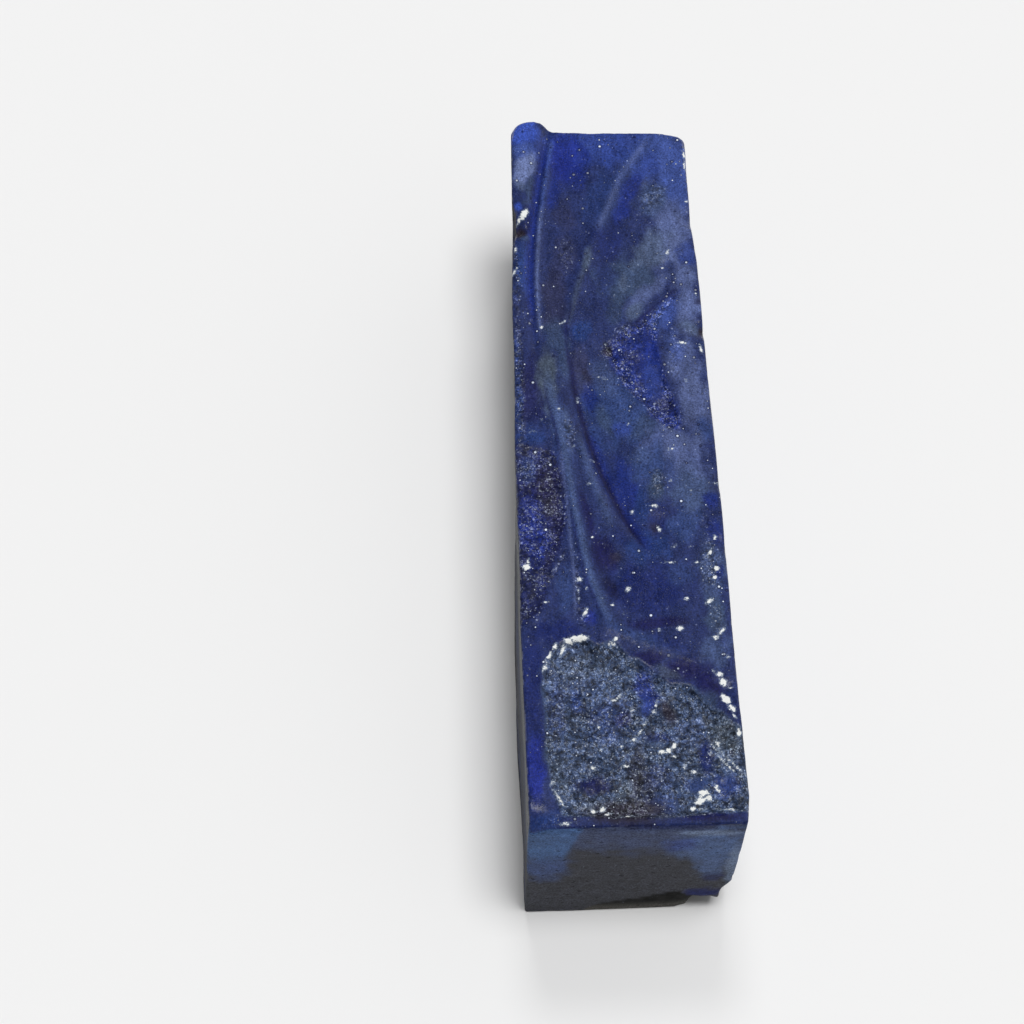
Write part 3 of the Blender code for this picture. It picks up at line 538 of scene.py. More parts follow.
# The noise that heaps grains up, and what it makes of clusters and of the gaps
HEAP_NOISE = (1.1, 5.0, 0.7)
HEAP_CLUSTERS = (0.4, 0.62, 0.15, 1.4)
HEAP_HOLLOWS = (0.36, 0.6, 0.6, 1.35)

# How textures are stretched along the axes, and how strongly pits and chips cover
LONG_STRETCH = (1.0, 0.4, 1.0)
PIT_STRETCH = (0.8, 0.8, 1.2)
MARK_STRETCH = (0.5, 0.5, 3.0)
PIT_COVER = 0.75
CHIP_COVER = 0.35

# Added roughness, tilted facets, fine bumps and sapphire's refraction
GRAIN_ROUGHNESS = 0.2
WORN_ROUGHNESS = 0.4
FACET_SIZE = 0.3
FACET_TILT = 0.6
BUMP_NOISE = (0.5, 4.0, 0.6)
BUMP_STRENGTH = 0.3
BUMP_DISTANCE = 0.0001
REFRACTION = 1.77
MIDDLE_GREY = (0.5, 0.5, 0.5)

# What the light makes of a base colour: its gain, the sheen on top and the darkest base
LIGHT_GAIN = 1.12
SHEEN = 0.005
DARKEST = 0.001

# How far the patches' borders wander, as a share of a patch's size, the heights at which
# the noise for it is read, and the soft border itself
DRIFT = 0.55
DRIFT_SIZE = Vector((1.4, 2.0, 1.0))
DRIFT_LEVELS = (3.0, 7.0, 5.0)
NEAR_DRIFT_LEVEL = 9.0
FINE_DRIFT = 0.5 * DRIFT
FINE_DRIFT_SIZE = 0.4 * DRIFT_SIZE
PATCH_BORDER = (1.3, 0.5)

# Where the glassy top ends, by upward slope and by height, the worn near edge, and which
# faces have the sawn finish
TOP_SLOPE = (0.35, 0.6)
TOP_HEIGHTS = (21.0, 22.0)
TOP_RIM = (0.9, 0.35)
WORN_REACH = (0.9, 0.3)
WORN_HEIGHTS = (0.9, 0.97)
SAWN_SLOPE = 0.5
SAWN_HEIGHT = 0.8

# Finishes, of the broken glassy top and of the dull sawn faces: specular level and
# added roughness
FINISHES = (("sapphire_glassy", 0.2, 0.0), ("sapphire_sawn", 0.04, 0.4))

# Lights: soft suns, and the sky's brightness from left to right. Then the floor.
Sun = namedtuple("Sun", "name direction strength angle glossy")
SUNS = (
    Sun("right", (0.155, -0.05, 0.987), 1.74, 20, False),
    Sun("overhead", (0.0, -0.1, 1.0), 0.65, 18, True),
    Sun("back", (0.0, 0.44, 0.9), 0.65, 14, False),
)
SKY_BORDERS = (0.0, 0.35)
SKY_BRIGHTNESS = (0.07, 0.36)
FLOOR_COLOUR = (0.8, 0.8, 0.8, 1.0)
FLOOR_HALF_SIZE = 2.5

# The camera: focal length for a 36 mm wide frame, place, downward tilt, heading to the
# right of +Y and roll, in millimetres and degrees
CAMERA_LENS = 93.62
SENSOR_WIDTH = 36.0
CAMERA_PLACE = Vector((-18.13, -143.03, 267.9))
CAMERA_TILT = 60.78
CAMERA_HEADING = 2.829
CAMERA_ROLL = 1.2
CAMERA_CLIP_START = 0.01


def smoothstep(start, end, value):
    share = np.clip((value - start) / (end - start), 0.0, 1.0)
    return share * share * (3.0 - 2.0 * share)


def stations(table, value):
    """Read a value from a table of (position, value) stations."""
    positions, values = zip(*table)
    return np.interp(value, positions, values)


def swelling(x, y, z, size):
    """Smooth noise between about -1 and 1, with bumps of the given size."""
    coordinates = zip(x / size.x, y / size.y, z / size.z)
    return np.array([noise.noise(Vector(place)) for place in coordinates])


def smooth_path(points, steps=6):
    """Points along a smooth curve that passes through the given ones."""
    known = np.array(points, dtype=float)
    known = np.vstack((2.0 * known[0] - known[1], known, 2.0 * known[-1] - known[-2]))
    curve = []
    for before, start, end, after in zip(known, known[1:], known[2:], known[3:]):
        for share in np.linspace(0.0, 1.0, steps, endpoint=False):
            bend = (2.0 * before - 5.0 * start + 4.0 * end - after) * share ** 2
            twist = (3.0 * start - before - 3.0 * end + after) * share ** 3
            curve.append(0.5 * (2.0 * start + (end - before) * share + bend + twist))
    curve.append(known[-2])
    return np.array(curve)


def beside(path, x, y):
    """Distance from a path, positive on its +X side, and the share of it already passed."""
    curve = smooth_path(path)
    nearest = np.full(x.shape, np.inf)
    side = np.ones(x.shape)
    passed = np.zeros(x.shape)
    for number, (start, end) in enumerate(zip(curve, curve[1:])):
        run = end - start
        share = ((x - start[0]) * run[0] + (y - start[1]) * run[1]) / run.dot(run)
        held = np.clip(share, 0.0, 1.0)
        distance = np.hypot(x - start[0] - held * run[0], y - start[1] - held * run[1])
        closer = distance < nearest
        turn = run[0] * (y - start[1]) - run[1] * (x - start[0])
        nearest = np.where(closer, distance, nearest)
        side = np.where(closer, np.where(turn < 0.0, -1.0, 1.0), side)
        passed = np.where(closer, (number + held) / (len(curve) - 1), passed)
    return side * nearest, passed


def depth_inside(outline, x, y):
    """Distance from a closed outline, positive inside it."""
    nearest = np.full(x.shape, np.inf)
    inside = np.zeros(x.shape, dtype=bool)
    for start, end in zip(outline, outline[1:] + outline[:1]):
        run_x, run_y = end[0] - start[0], end[1] - start[1]
        share = ((x - start[0]) * run_x + (y - start[1]) * run_y) / (run_x ** 2 + run_y ** 2)
        held = np.clip(share, 0.0, 1.0)
        distance = np.hypot(x - start[0] - held * run_x, y - start[1] - held * run_y)
        nearest = np.minimum(nearest, distance)
        if run_y != 0.0:
            spans = (start[1] > y) != (end[1] > y)
            inside ^= spans & (x < start[0] + run_x * (y - start[1]) / run_y)
    return np.where(inside, nearest, -nearest)


def faded_ends(fade, passed):
    """1 along the middle of a path, falling to 0 at both of its ends."""
    return smoothstep(0.0, fade, passed) * smoothstep(1.0, 1.0 - fade, passed)


def fold_height(fold, x, y):
    distance, passed = beside(fold.path, x, y)
    flank = np.where(distance < 0.0, fold.left_flank, fold.right_flank)
    return fold.height * faded_ends(FOLD_FADE, passed) / (1.0 + (distance / flank) ** 2)


def lip_height(x, y):
    """The lip along the far left edge and the groove at its foot."""
    distance, _ = beside(LIP_CREST, x, y)
    along = smoothstep(LIP_NEAR_END, LIP_FAR_END, y)
    height = LIP_HEIGHT_NEAR + (LIP_HEIGHT_FAR - LIP_HEIGHT_NEAR) * along
    rise = smoothstep(LIP_SIDE + LIP_SLOPE, LIP_SIDE - LIP_SLOPE, distance)
    groove = np.exp(-((distance - GROOVE_SIDE) / GROOVE_WIDTH) ** 2)
    present = smoothstep(*LIP_START, y)
    return present * (height * rise - GROOVE_DEPTH * groove)


def scar_depth(scar, x, y):
    """A break scar with a steep wall and an uneven floor."""
    inside = depth_inside(scar.outline, x, y)
    shallower = 1.0 - SCAR_LOSS_AT_RIGHT * smoothstep(SCAR_LOSS_START, WIDTH / 2, x)
    shallower *= 1.0 - SCAR_LOSS_AT_LEFT * smoothstep(*SCAR_LEFT_RISE, x) * smoothstep(*SCAR_NEAR_RISE, y)
    floor = shallower * smoothstep(0.0, scar.wall, inside)
    size = Vector((scar.step_size, scar.step_size, scar.step_size))
    steps = scar.step_height * swelling(x, y, np.zeros(x.shape), size)
    return floor * (scar.depth + steps)


def sugar(x, y):
    """How sugary the top face is: 1 on the broken scar's floor, 0 on glassy stone."""
    cover = np.zeros(x.shape)
    for scar, most in zip(SCARS, (1.0, FINE_SCAR_SHARE, FINE_SCAR_SHARE)):
        inside = depth_inside(scar.outline, x, y)
        cover = np.maximum(cover, most * smoothstep(*SUGAR_BORDER, inside))
    return cover


def fine_relief(x, y):
    """Sugary steps in the scars and long ripples on the glassy parts."""
    flat = np.zeros(x.shape)
    cover = sugar(x, y)
    relief = (1.0 - cover) * RIPPLE_HEIGHT * swelling(x, y, flat, RIPPLE_SIZE)
    for size, height in SUGAR_HEIGHTS:
        steps = np.abs(swelling(x, y, flat + size, Vector((size, size, size))))
        relief += cover * height * (steps - SUGAR_LEVEL)
    return relief


def top_height(x, y):
    height = HEIGHT + TOP_SWELL_HEIGHT * swelling(x, y, np.zeros(x.shape), TOP_SWELL_SIZE)
    height += lip_height(x, y)
    for fold in FOLDS:
        height += fold_height(fold, x, y)
    for scar in SCARS:
        height -= scar_depth(scar, x, y)
    for dent in TOP_DENTS:
        distance = np.hypot(x - dent.x, y - dent.y)
        height -= dent.depth * np.exp(-(distance / dent.radius) ** 2)
    return height + fine_relief(x, y)


def broken_in(breaks, along, height):
    """How far shell-shaped breaks with ragged borders cut into a face."""
    rag = 1.0 + BREAK_RAGGEDNESS * swelling(along, height, np.zeros(along.shape), BREAK_RAG_SIZE)
    depth = np.zeros(along.shape)
    for place in breaks:
        distance = rag * np.hypot(along - place.along, height - place.height)
        depth += place.depth * np.clip(1.0 - (distance / place.radius) ** 2, 0.0, 1.0)
    return depth


def side_face(base_edge, top_edge, y, z):
    """The plane sawn from a base edge up to a top edge."""
    base = stations(base_edge, y)
    return base + z / HEIGHT * (stations(top_edge, y) - base)


def left_face(x, y, z):
    swell = FACE_SWELL * swelling(x, y, z, FACE_SWELL_SIZE)
    return side_face(BASE_LEFT_EDGE, TOP_LEFT_EDGE, y, z) + broken_in(LEFT_BREAKS, y, z) + swell


def right_face(x, y, z):
    swell = FACE_SWELL * swelling(x, y, z, FACE_SWELL_SIZE)
    return side_face(BASE_RIGHT_EDGE, TOP_RIGHT_EDGE, y, z) - broken_in(RIGHT_BREAKS, y, z) - swell


def near_face(x, z):
    """The sawn near end, drawn back where its lower part broke off."""
    lean = NEAR_END_LEAN * (1.0 - z / HEIGHT)
    return NEAR_END + lean + stations(CHIP_SLOPE, x) * np.maximum(stations(CHIP_EDGE, x) - z, 0.0)


def far_face(x, y, z):
    """The broken far end, with the lip's bulge at its upper left."""
    face = FAR_END_BASE + z / HEIGHT * (FAR_END_TOP - FAR_END_BASE) - FAR_END_SLANT * x
    across = np.clip(1.0 - ((x - LIP_BULGE_MIDDLE) / LIP_BULGE_HALF_WIDTH) ** 2, 0.0, 1.0)
    bulge = LIP_BULGE * across * smoothstep(HEIGHT - LIP_BULGE_DROP, HEIGHT, z)
    lowered = smoothstep(HEIGHT, HEIGHT - FAR_END_SOUND_RIM, z)
    swell = FAR_END_SWELL * lowered * swelling(x, y, z, FACE_SWELL_SIZE)
    return face + bulge - broken_in(FAR_BREAKS, x, z) * lowered - np.abs(swell)


def edge_wear(x, y, z):
    """How far each edge is worn round, in millimetres."""
    wear = EDGE_WEAR + EDGE_WEAR_CHANGE * swelling(x, y, z, EDGE_WEAR_SIZE)
    wear += EDGE_CRUMBLE * np.abs(swelling(x, y, z, EDGE_CRUMBLE_SIZE))
    far = smoothstep(LENGTH / 2 - CORNER_REACH, LENGTH / 2, y)
    right = far * smoothstep(WIDTH / 2 - CORNER_REACH, WIDTH / 2, x)
    left = far * smoothstep(CORNER_REACH - WIDTH / 2, -WIDTH / 2, x)
    return wear + right * FAR_RIGHT_CORNER_WEAR + left * FAR_LEFT_CORNER_WEAR


def worn_box(x, y, z):
    """Points of the plain box, drawn in where they are close to one of its edges."""
    wear = edge_wear(x, y, z)
    half_size = np.array((WIDTH, LENGTH, HEIGHT))[:, None] / 2.0
    point = np.array((x, y, z - HEIGHT / 2.0))
    core = np.clip(point, wear - half_size, half_size - wear)
    outward = point - core
    length = np.maximum(np.linalg.norm(outward, axis=0), SHORTEST)
    rounded = core + outward / length * wear
    return rounded[0], rounded[1], rounded[2] + HEIGHT / 2.0


def stone_surface(box_x, box_y, box_z):
    """Move points of the plain box to the stone's real surface."""
    x, y, z = worn_box(box_x, box_y, box_z)
    across = x / WIDTH + 0.5
    along = y / LENGTH + 0.5
    up = z / HEIGHT
    left = left_face(x, y, z)
    x = left + across * (right_face(x, y, z) - left)
    near = near_face(x, z)
    y = near + along * (far_face(x, y, z) - near)
    return x, y, up * top_height(x, y)


def in_ellipse(spot, x, y):
    """Distance from a turned ellipse's centre, 1 on its outline."""
    turn = math.radians(spot.turn)
    across = (x - spot.x) * math.cos(turn) + (y - spot.y) * math.sin(turn)
    along = (y - spot.y) * math.cos(turn) - (x - spot.x) * math.sin(turn)
    return np.hypot(across / spot.across, along / spot.along)


def linear(colour, gain=LIGHT_GAIN, sheen=SHEEN):
    """The base colour, linear, that looks like a palette colour under this light."""
    share = np.array(PALETTE[colour]) / 255.0
    seen = np.where(share < 0.04045, share / 12.92, ((share + 0.055) / 1.055) ** 2.4)
    return np.maximum((seen - sheen) / gain, DARKEST)


def laid_over(below, colour, cover, *light):
    return below + cover[:, None] * (linear(colour, *light) - below)


def lay_patches(colour, patches, x, y, drift_x, drift_y, *light):
    """Paint patches with wandering borders."""
    for patch in patches:
        size = min(patch.across, patch.along)
        places = x + size * drift_x, y + size * drift_y
        cover = smoothstep(*PATCH_BORDER, in_ellipse(patch, *places))
        colour = laid_over(colour, patch.colour, patch.strength * cover, *light)
    return colour


def top_colour(x, y):
    """The top face's drifting blues, hazes and browns."""
    levels = [np.full(x.shape, level) for level in DRIFT_LEVELS]
    drift_x = DRIFT * swelling(x, y, levels[0], DRIFT_SIZE)
    drift_y = DRIFT * swelling(x, y, levels[1], DRIFT_SIZE)
    drift_x += FINE_DRIFT * swelling(x, y, levels[2], FINE_DRIFT_SIZE)
    colour = np.tile(linear("navy"), (len(x), 1))
    colour = lay_patches(colour, TOP_PATCHES, x, y, drift_x, drift_y)
    for line in TOP_LINES:
        distance, passed = beside(line.path, x, y)
        cover = np.exp(-((distance - line.shift) / line.half_width) ** 2)
        colour = laid_over(colour, line.colour, line.strength * faded_ends(LINE_FADE, passed) * cover)
    for scar, name, strength in zip(SCARS, SCAR_COLOURS, SCAR_COLOUR_STRENGTHS):
        inside = depth_inside(scar.outline, x, y) + BORDER_DRIFT * drift_x
        colour = laid_over(colour, name, strength * smoothstep(*SCAR_BORDER, inside))
    return lay_patches(colour, SCAR_PATCHES, x, y, drift_x, drift_y)


def near_colour(x, z):
    """The sawn near end: grey and blue, a paler upper left corner, and below the chip's edge a black
    break with painted shade, grading to a painted penumbra grey at its foot.
    """
    flat = np.zeros(x.shape)
    light = NEAR_GAIN, NEAR_SHEEN
    drift_x = DRIFT * swelling(x, flat, z, DRIFT_SIZE)
    drift_z = DRIFT * swelling(x, flat + NEAR_DRIFT_LEVEL, z, DRIFT_SIZE)
    colour = np.tile(linear("saw_grey", *light), (len(x), 1))
    colour = lay_patches(colour, NEAR_PATCHES, x, z, drift_x, drift_z, *light)
    border = PALE_CORNER_SIDE - PALE_CORNER_LEAN * (HEIGHT - z) + BORDER_DRIFT * drift_x
    corner = smoothstep(PALE_CORNER_BLUR, -PALE_CORNER_BLUR, x - border)
    corner *= smoothstep(*PALE_CORNER_HEIGHTS, z + drift_z)
    colour = laid_over(colour, "saw_pale", PALE_CORNER_COVER * corner, *light)
    # Below the chip's edge: black, the break's own dark with painted shade on it, then a painted penumbra
    # grey towards the floor
    below = smoothstep(*CHIP_BORDER, stations(CHIP_EDGE, x) - z)
    below *= smoothstep(CHIP_COLOUR_END + CHIP_END_BLUR, CHIP_COLOUR_END - CHIP_END_BLUR, x)
    colour = laid_over(colour, "black_and_shade", below, *light)
    return laid_over(colour, "penumbra_grey", below * smoothstep(*CHIP_PENUMBRA_HEIGHTS, z), *light)


def side_colour(x, y, z):
    """The sawn faces: dull grey with blue clouds, khaki along the top of the left one."""
    colour = np.tile(linear("saw_grey"), (len(x), 1))
    for cloud in SIDE_CLOUDS:
        cover = smoothstep(*cloud.border, swelling(x + cloud.shift, y + cloud.lean * z, z, cloud.size))
        colour = laid_over(colour, cloud.colour, cloud.strength * cover)
    khaki = smoothstep(*KHAKI_SIDE, x) * smoothstep(*KHAKI_FAR_END, y)
    khaki *= KHAKI_COVER[0] + (KHAKI_COVER[1] - KHAKI_COVER[0]) * smoothstep(*KHAKI_HEIGHTS, z)
    colour = laid_over(colour, "saw_khaki", khaki)
    # The sawn faces darker towards the stone's foot
    ragged = z + DARK_FOOT_RAG * swelling(x, y, z, DARK_FOOT_RAG_SIZE)
    colour = laid_over(colour, "black_and_shade", DARK_FOOT_COVER * smoothstep(*DARK_FOOT_HEIGHTS, ragged))
    near = smoothstep(NEAR_END + NEAR_REACH, NEAR_END + NEAR_FULL, y)
    chipped = smoothstep(0.0, CHIP_BLUR, stations(CHIP_EDGE, x) - z) * (y < NEAR_END + CHIP_REACH)
    near = np.maximum(near, chipped)
    return colour + near[:, None] * (near_colour(x, z) - colour)


def painted_glint_field(x, y):
    """Millimetres inside the nearest painted glint's outline, negative outside."""
    field = np.full(x.shape, -GLINT_REACH)
    for painted_glint in PAINTED_GLINTS:
        size = min(painted_glint.across, painted_glint.along)
        field = np.maximum(field, size * (1.0 - in_ellipse(painted_glint, x, y)))
    return field


def grain_density(x, y):
    """How thickly fine pale grains cover the top face."""
    density = np.full(x.shape, PLAIN_GRAIN)
    for scar, most, rim in zip(SCARS, SCAR_GRAIN, SCAR_RIMS):
        inside = depth_inside(scar.outline, x, y)
        cover = smoothstep(*SCAR_GRAIN_BORDER, inside) * most
        at_rim = rim * np.exp(-((inside - RIM_MIDDLE) / RIM_WIDTH) ** 2) * (inside > 0.0)
        density = np.maximum(density, np.maximum(cover, at_rim))
    for spot in SMOOTH_SPOTS:
        density *= 1.0 - spot.density * smoothstep(*SMOOTH_BORDER, in_ellipse(spot, x, y))
    for spot in GRAINS:
        cover = smoothstep(*GRAINS_BORDER, in_ellipse(spot, x, y))
        density = np.maximum(density, spot.density * cover)
    return density


def runs_along(edge, axis):
    run = edge.verts[1].co - edge.verts[0].co
    return abs(run[axis]) > PARALLEL_SHARE * run.length


def gridded_cube(counts):
    """A unit cube with its faces cut into a grid, with its own count of cells along each axis."""
    grid = bmesh.new()
    bmesh.ops.create_cube(grid, size=1.0)
    for axis, count in enumerate(counts):
        edges = [edge for edge in grid.edges if runs_along(edge, axis)]
        bmesh.ops.subdivide_edges(grid, edges=edges, cuts=count - 1, use_grid_fill=True)
    return grid


def crowded_grid(cube):
    """Draw the unit cube's grid lines towards its edges, where the relief is finest."""
    return cube + GRID_CROWDING * np.sin(2.0 * np.pi * cube) / (2.0 * np.pi)


def close_flat_base(grid):
    """Make the flat part of the underside one face, since it needs no fine grid."""
    flat = [face for face in grid.faces if all(vertex.co.z < BASE_TOLERANCE for vertex in face.verts)]
    bmesh.ops.delete(grid, geom=flat, context="FACES")
    rim = [edge for edge in grid.edges if edge.is_boundary]
    bmesh.ops.holes_fill(grid, edges=rim, sides=0)


def add_attribute(mesh, name, kind, values):
    attribute = mesh.attributes.new(name, kind, "POINT")
    key = "color" if kind == "FLOAT_COLOR" else "value"
    attribute.data.foreach_set(key, np.ascontiguousarray(values, dtype=np.float32).ravel())


def paint_stone(mesh, origin):
    """Store what varies over the surface for the material to read."""
    flat_places = np.empty(len(mesh.vertices) * 3)
    mesh.vertices.foreach_get("co", flat_places)
    x, y, z = (flat_places.reshape(-1, 3) / MILLIMETRE + origin).T
    normals = np.empty(len(mesh.vertices) * 3)
    mesh.vertices.foreach_get("normal", normals)
    upward = normals.reshape(-1, 3)[:, 2]
    top = smoothstep(*TOP_SLOPE, upward) * smoothstep(*TOP_HEIGHTS, z)
    rim = smoothstep(HEIGHT - TOP_RIM[0], HEIGHT - TOP_RIM[1], z) * (upward > 0.0)
    top = np.maximum(top, rim)
    colour = top_colour(x, y)
    colour += (1.0 - top)[:, None] * (side_colour(x, y, z) - colour)
    add_attribute(mesh, "stone_colour", "FLOAT_COLOR", np.column_stack((colour, np.ones(len(x)))))
    edge = smoothstep(*WORN_REACH, y - NEAR_END) * smoothstep(*WORN_HEIGHTS, z / HEIGHT)
    add_attribute(mesh, "worn", "FLOAT", edge)
    add_attribute(mesh, "glassy", "FLOAT", top)
    # The painted glints: highlights that the material paints into the colour.
    add_attribute(mesh, "painted_glint", "FLOAT", painted_glint_field(x, y) - GLINT_LOSS * (1.0 - top))
    add_attribute(mesh, "grain", "FLOAT", top * grain_density(x, y))


def build_stone():
    grid = gridded_cube(GRID)
    cube = np.array([vertex.co for vertex in grid.verts])
    box = crowded_grid(cube) * (WIDTH, LENGTH, HEIGHT)
    surface = np.stack(stone_surface(box[:, 0], box[:, 1], box[:, 2] + HEIGHT / 2.0), axis=1)
    lowest, highest = surface.min(axis=0), surface.max(axis=0)
    origin = np.array(((lowest[0] + highest[0]) / 2.0, (lowest[1] + highest[1]) / 2.0, 0.0))
    for vertex, place in zip(grid.verts, (surface - origin) * MILLIMETRE):
        vertex.co = place
    close_flat_base(grid)
    mesh = bpy.data.meshes.new("sapphire_stone")
    grid.to_mesh(mesh)
    grid.free()
    mesh.shade_smooth()
    paint_stone(mesh, origin)
    stone = bpy.data.objects.new("sapphire_stone", mesh)
    bpy.context.scene.collection.objects.link(stone)
    for name, specular_level, added_roughness in FINISHES:
        mesh.materials.append(stone_material(name, specular_level, added_roughness))
    for face in mesh.polygons:
        sawn = face.normal.z < SAWN_SLOPE or face.center.z < SAWN_HEIGHT * HEIGHT * MILLIMETRE
        face.material_index = 1 if sawn else 0
    return stone, origin


class Nodes:
    """A small helper that adds shader nodes and links them by name."""

    def __init__(self, tree):
        self.tree = tree

    def add(self, kind, **settings):
        node = self.tree.nodes.new(kind)
        for name, value in settings.items():
            setattr(node, name, value)
        return node

    def put(self, socket, value):
        if isinstance(value, bpy.types.NodeSocket):
            self.tree.links.new(value, socket)
        else:
            socket.default_value = value

    def attribute(self, name, output="Fac"):
        return self.add("ShaderNodeAttribute", attribute_name=name).outputs[output]

    def math(self, operation, first, second=0.0, third=0.0, clamp=False):
        node = self.add("ShaderNodeMath", operation=operation, use_clamp=clamp)
        for socket, value in zip(node.inputs, (first, second, third)):
            self.put(socket, value)
        return node.outputs[0]

    def times(self, first, second):
        return self.math("MULTIPLY", first, second)

    def vector(self, operation, first, second=(0.0, 0.0, 0.0), scale=1.0):
        node = self.add("ShaderNodeVectorMath", operation=operation)
        self.put(node.inputs[0], first)
        if operation == "SCALE":
            self.put(node.inputs["Scale"], scale)
        elif operation != "NORMALIZE":
            self.put(node.inputs[1], second)
        return node.outputs[0]

    def step(self, value, low, high, start=0.0, end=1.0):
        node = self.add("ShaderNodeMapRange", interpolation_type="SMOOTHSTEP")
        for socket, given in zip(node.inputs, (value, low, high, start, end)):
            self.put(socket, given)
        return node.outputs[0]

    def mix(self, share, first, second):
        node = self.add("ShaderNodeMix", data_type="RGBA")
        self.put(node.inputs["Factor"], share)
        self.put(node.inputs[6], first)
        self.put(node.inputs[7], second)
        return node.outputs[2]

    def split(self, colour):
        node = self.add("ShaderNodeSeparateColor")
        self.put(node.inputs[0], colour)
        return node.outputs

    def noise(self, place, size_mm, detail=2.0, roughness=0.5):
        node = self.add("ShaderNodeTexNoise")
        self.put(node.inputs["Vector"], place)
        self.put(node.inputs["Scale"], 1.0 / size_mm)
        self.put(node.inputs["Detail"], detail)
        self.put(node.inputs["Roughness"], roughness)
        return node.outputs["Fac"]

    def texture(self, place, kind):
        """Noise in the used range, turned into the texture's values."""
        value = self.noise(place, kind.size, kind.detail, kind.roughness)
        return self.step(value, kind.low, kind.high, kind.start, kind.end)

    def warped(self, place, size_mm, amount):
        """Places pushed about by noise, for ragged outlines."""
        node = self.add("ShaderNodeTexNoise")
        self.put(node.inputs["Vector"], place)
        self.put(node.inputs["Scale"], 1.0 / size_mm)
        push = self.vector("SUBTRACT", node.outputs["Color"], MIDDLE_GREY)
        return self.vector("ADD", place, self.vector("SCALE", push, scale=amount))

    def cells(self, place, size_mm, output="Color"):
        node = self.add("ShaderNodeTexVoronoi")
        self.put(node.inputs["Vector"], place)
        self.put(node.inputs["Scale"], 1.0 / size_mm)
        return node.outputs[output]


def rgba(colour):
    return (*linear(colour), 1.0)


def grained(nodes, colour, place, density):
    """Sugary grains, each a ragged cell with a brightness of its own."""
    place = nodes.warped(place, GRAIN_WARP_SIZE, GRAIN_WARP)
    pale = nodes.mix(GRAIN_PALENESS, nodes.vector("SCALE", colour, scale=GRAIN_GAIN), rgba("pearl"))
    crumbs = nodes.texture(place, CRUMBS)
    colour = nodes.mix(nodes.math("MULTIPLY", crumbs, density, clamp=True), colour, pale)
    for size, share in GRAIN_LAYERS:
        pick = nodes.split(nodes.cells(place, size, "Color"))
        chosen = nodes.math("SUBTRACT", 1.0, nodes.times(density, share))
        chosen = nodes.step(nodes.math("SUBTRACT", pick[0], chosen), 0.0, GRAIN_EDGE)
        body = nodes.step(nodes.cells(place, size, "Distance"), *GRAIN_BODY)
        bright = nodes.math("MULTIPLY_ADD", nodes.times(pick[1], pick[1]), *GRAIN_BRIGHTNESS)
        cover = nodes.times(nodes.times(chosen, body), bright)
        colour = nodes.mix(cover, colour, pale)
    return colour


def painted_sparkle(nodes, colour, place, size, chance, ring):
    """Painted sparkle: single bright points, each in a dark ring."""
    distance = nodes.cells(place, size, "Distance")
    pick = nodes.split(nodes.cells(place, size, "Color"))
    chosen = nodes.math("LESS_THAN", pick[0], chance)
    reach = nodes.step(pick[2], 0.0, 1.0, *DOT_RADII)
    inside = nodes.math("SUBTRACT", reach, distance)
    dark = nodes.times(nodes.step(inside, *DOT_RING, 0.0, ring), chosen)
    colour = nodes.mix(dark, colour, rgba("ink"))
    bright = nodes.times(nodes.step(inside, *DOT_BODY), chosen)
    bright = nodes.times(bright, nodes.step(pick[1], 0.0, 1.0, *DOT_BRIGHTNESS))
    return nodes.mix(bright, colour, rgba("painted_sparkle_white"))


def with_clouds(nodes, colour, place, long_place, glassy):
    """Soft clouds, fine mottling and dark pinholes in the blue."""
    clouds = nodes.texture(long_place, CLOUDS)
    mottle = nodes.texture(place, MOTTLE)
    colour = nodes.vector("SCALE", colour, scale=nodes.times(clouds, mottle))
    pinholes = nodes.times(nodes.texture(place, PINHOLES), glassy)
    return nodes.mix(pinholes, colour, rgba("ink"))


def with_sugar(nodes, colour, place, grain, glassy):
    """Sugary grains over darker gaps, and bright points of painted sparkle."""
    heap = nodes.noise(place, *HEAP_NOISE)
    clusters = nodes.step(heap, *HEAP_CLUSTERS)
    hollows = nodes.times(nodes.step(heap, *HEAP_HOLLOWS), nodes.texture(place, HOLLOWS))
    hollows = nodes.math("MULTIPLY_ADD", nodes.math("SUBTRACT", hollows, 1.0), grain, 1.0)
    colour = nodes.vector("SCALE", colour, scale=hollows)
    colour = grained(nodes, colour, place, nodes.times(grain, clusters))
    for size, chance, grain_chance, ring in DOT_LAYERS:
        chance = nodes.times(nodes.math("MULTIPLY_ADD", grain, grain_chance, chance), glassy)
        colour = painted_sparkle(nodes, colour, place, size, chance, ring)
    return colour


def with_painted_glints(nodes, colour, place):
    """Painted highlights: bright glints with ragged outlines and a pale fringe, laid into the base
    colour.
    """
    ragged = nodes.math("SUBTRACT", nodes.noise(place, *GLINT_RAG_NOISE), 0.5)
    painted_glint = nodes.math("MULTIPLY_ADD", ragged, GLINT_RAG, nodes.attribute("painted_glint"))
    colour = nodes.mix(nodes.step(painted_glint, *GLINT_FRINGE), colour, rgba("frost"))
    return nodes.mix(nodes.step(painted_glint, *GLINT_BODY), colour, rgba("painted_glint_white"))


def with_saw_marks(nodes, colour, place, dull):
    """Small dark pits, pale chips and saw marks on the sawn faces."""
    pits = nodes.texture(nodes.vector("MULTIPLY", place, PIT_STRETCH), PITS)
    pits = nodes.times(nodes.times(pits, dull), PIT_COVER)
    colour = nodes.mix(pits, colour, rgba("black_and_shade"))
    chips = nodes.times(nodes.times(nodes.texture(place, CHIPS), dull), CHIP_COVER)
    colour = nodes.mix(chips, colour, rgba("frost"))
    marks = nodes.texture(nodes.vector("MULTIPLY", place, MARK_STRETCH), SAW_MARKS)
    return nodes.mix(dull, colour, nodes.vector("SCALE", colour, scale=marks))


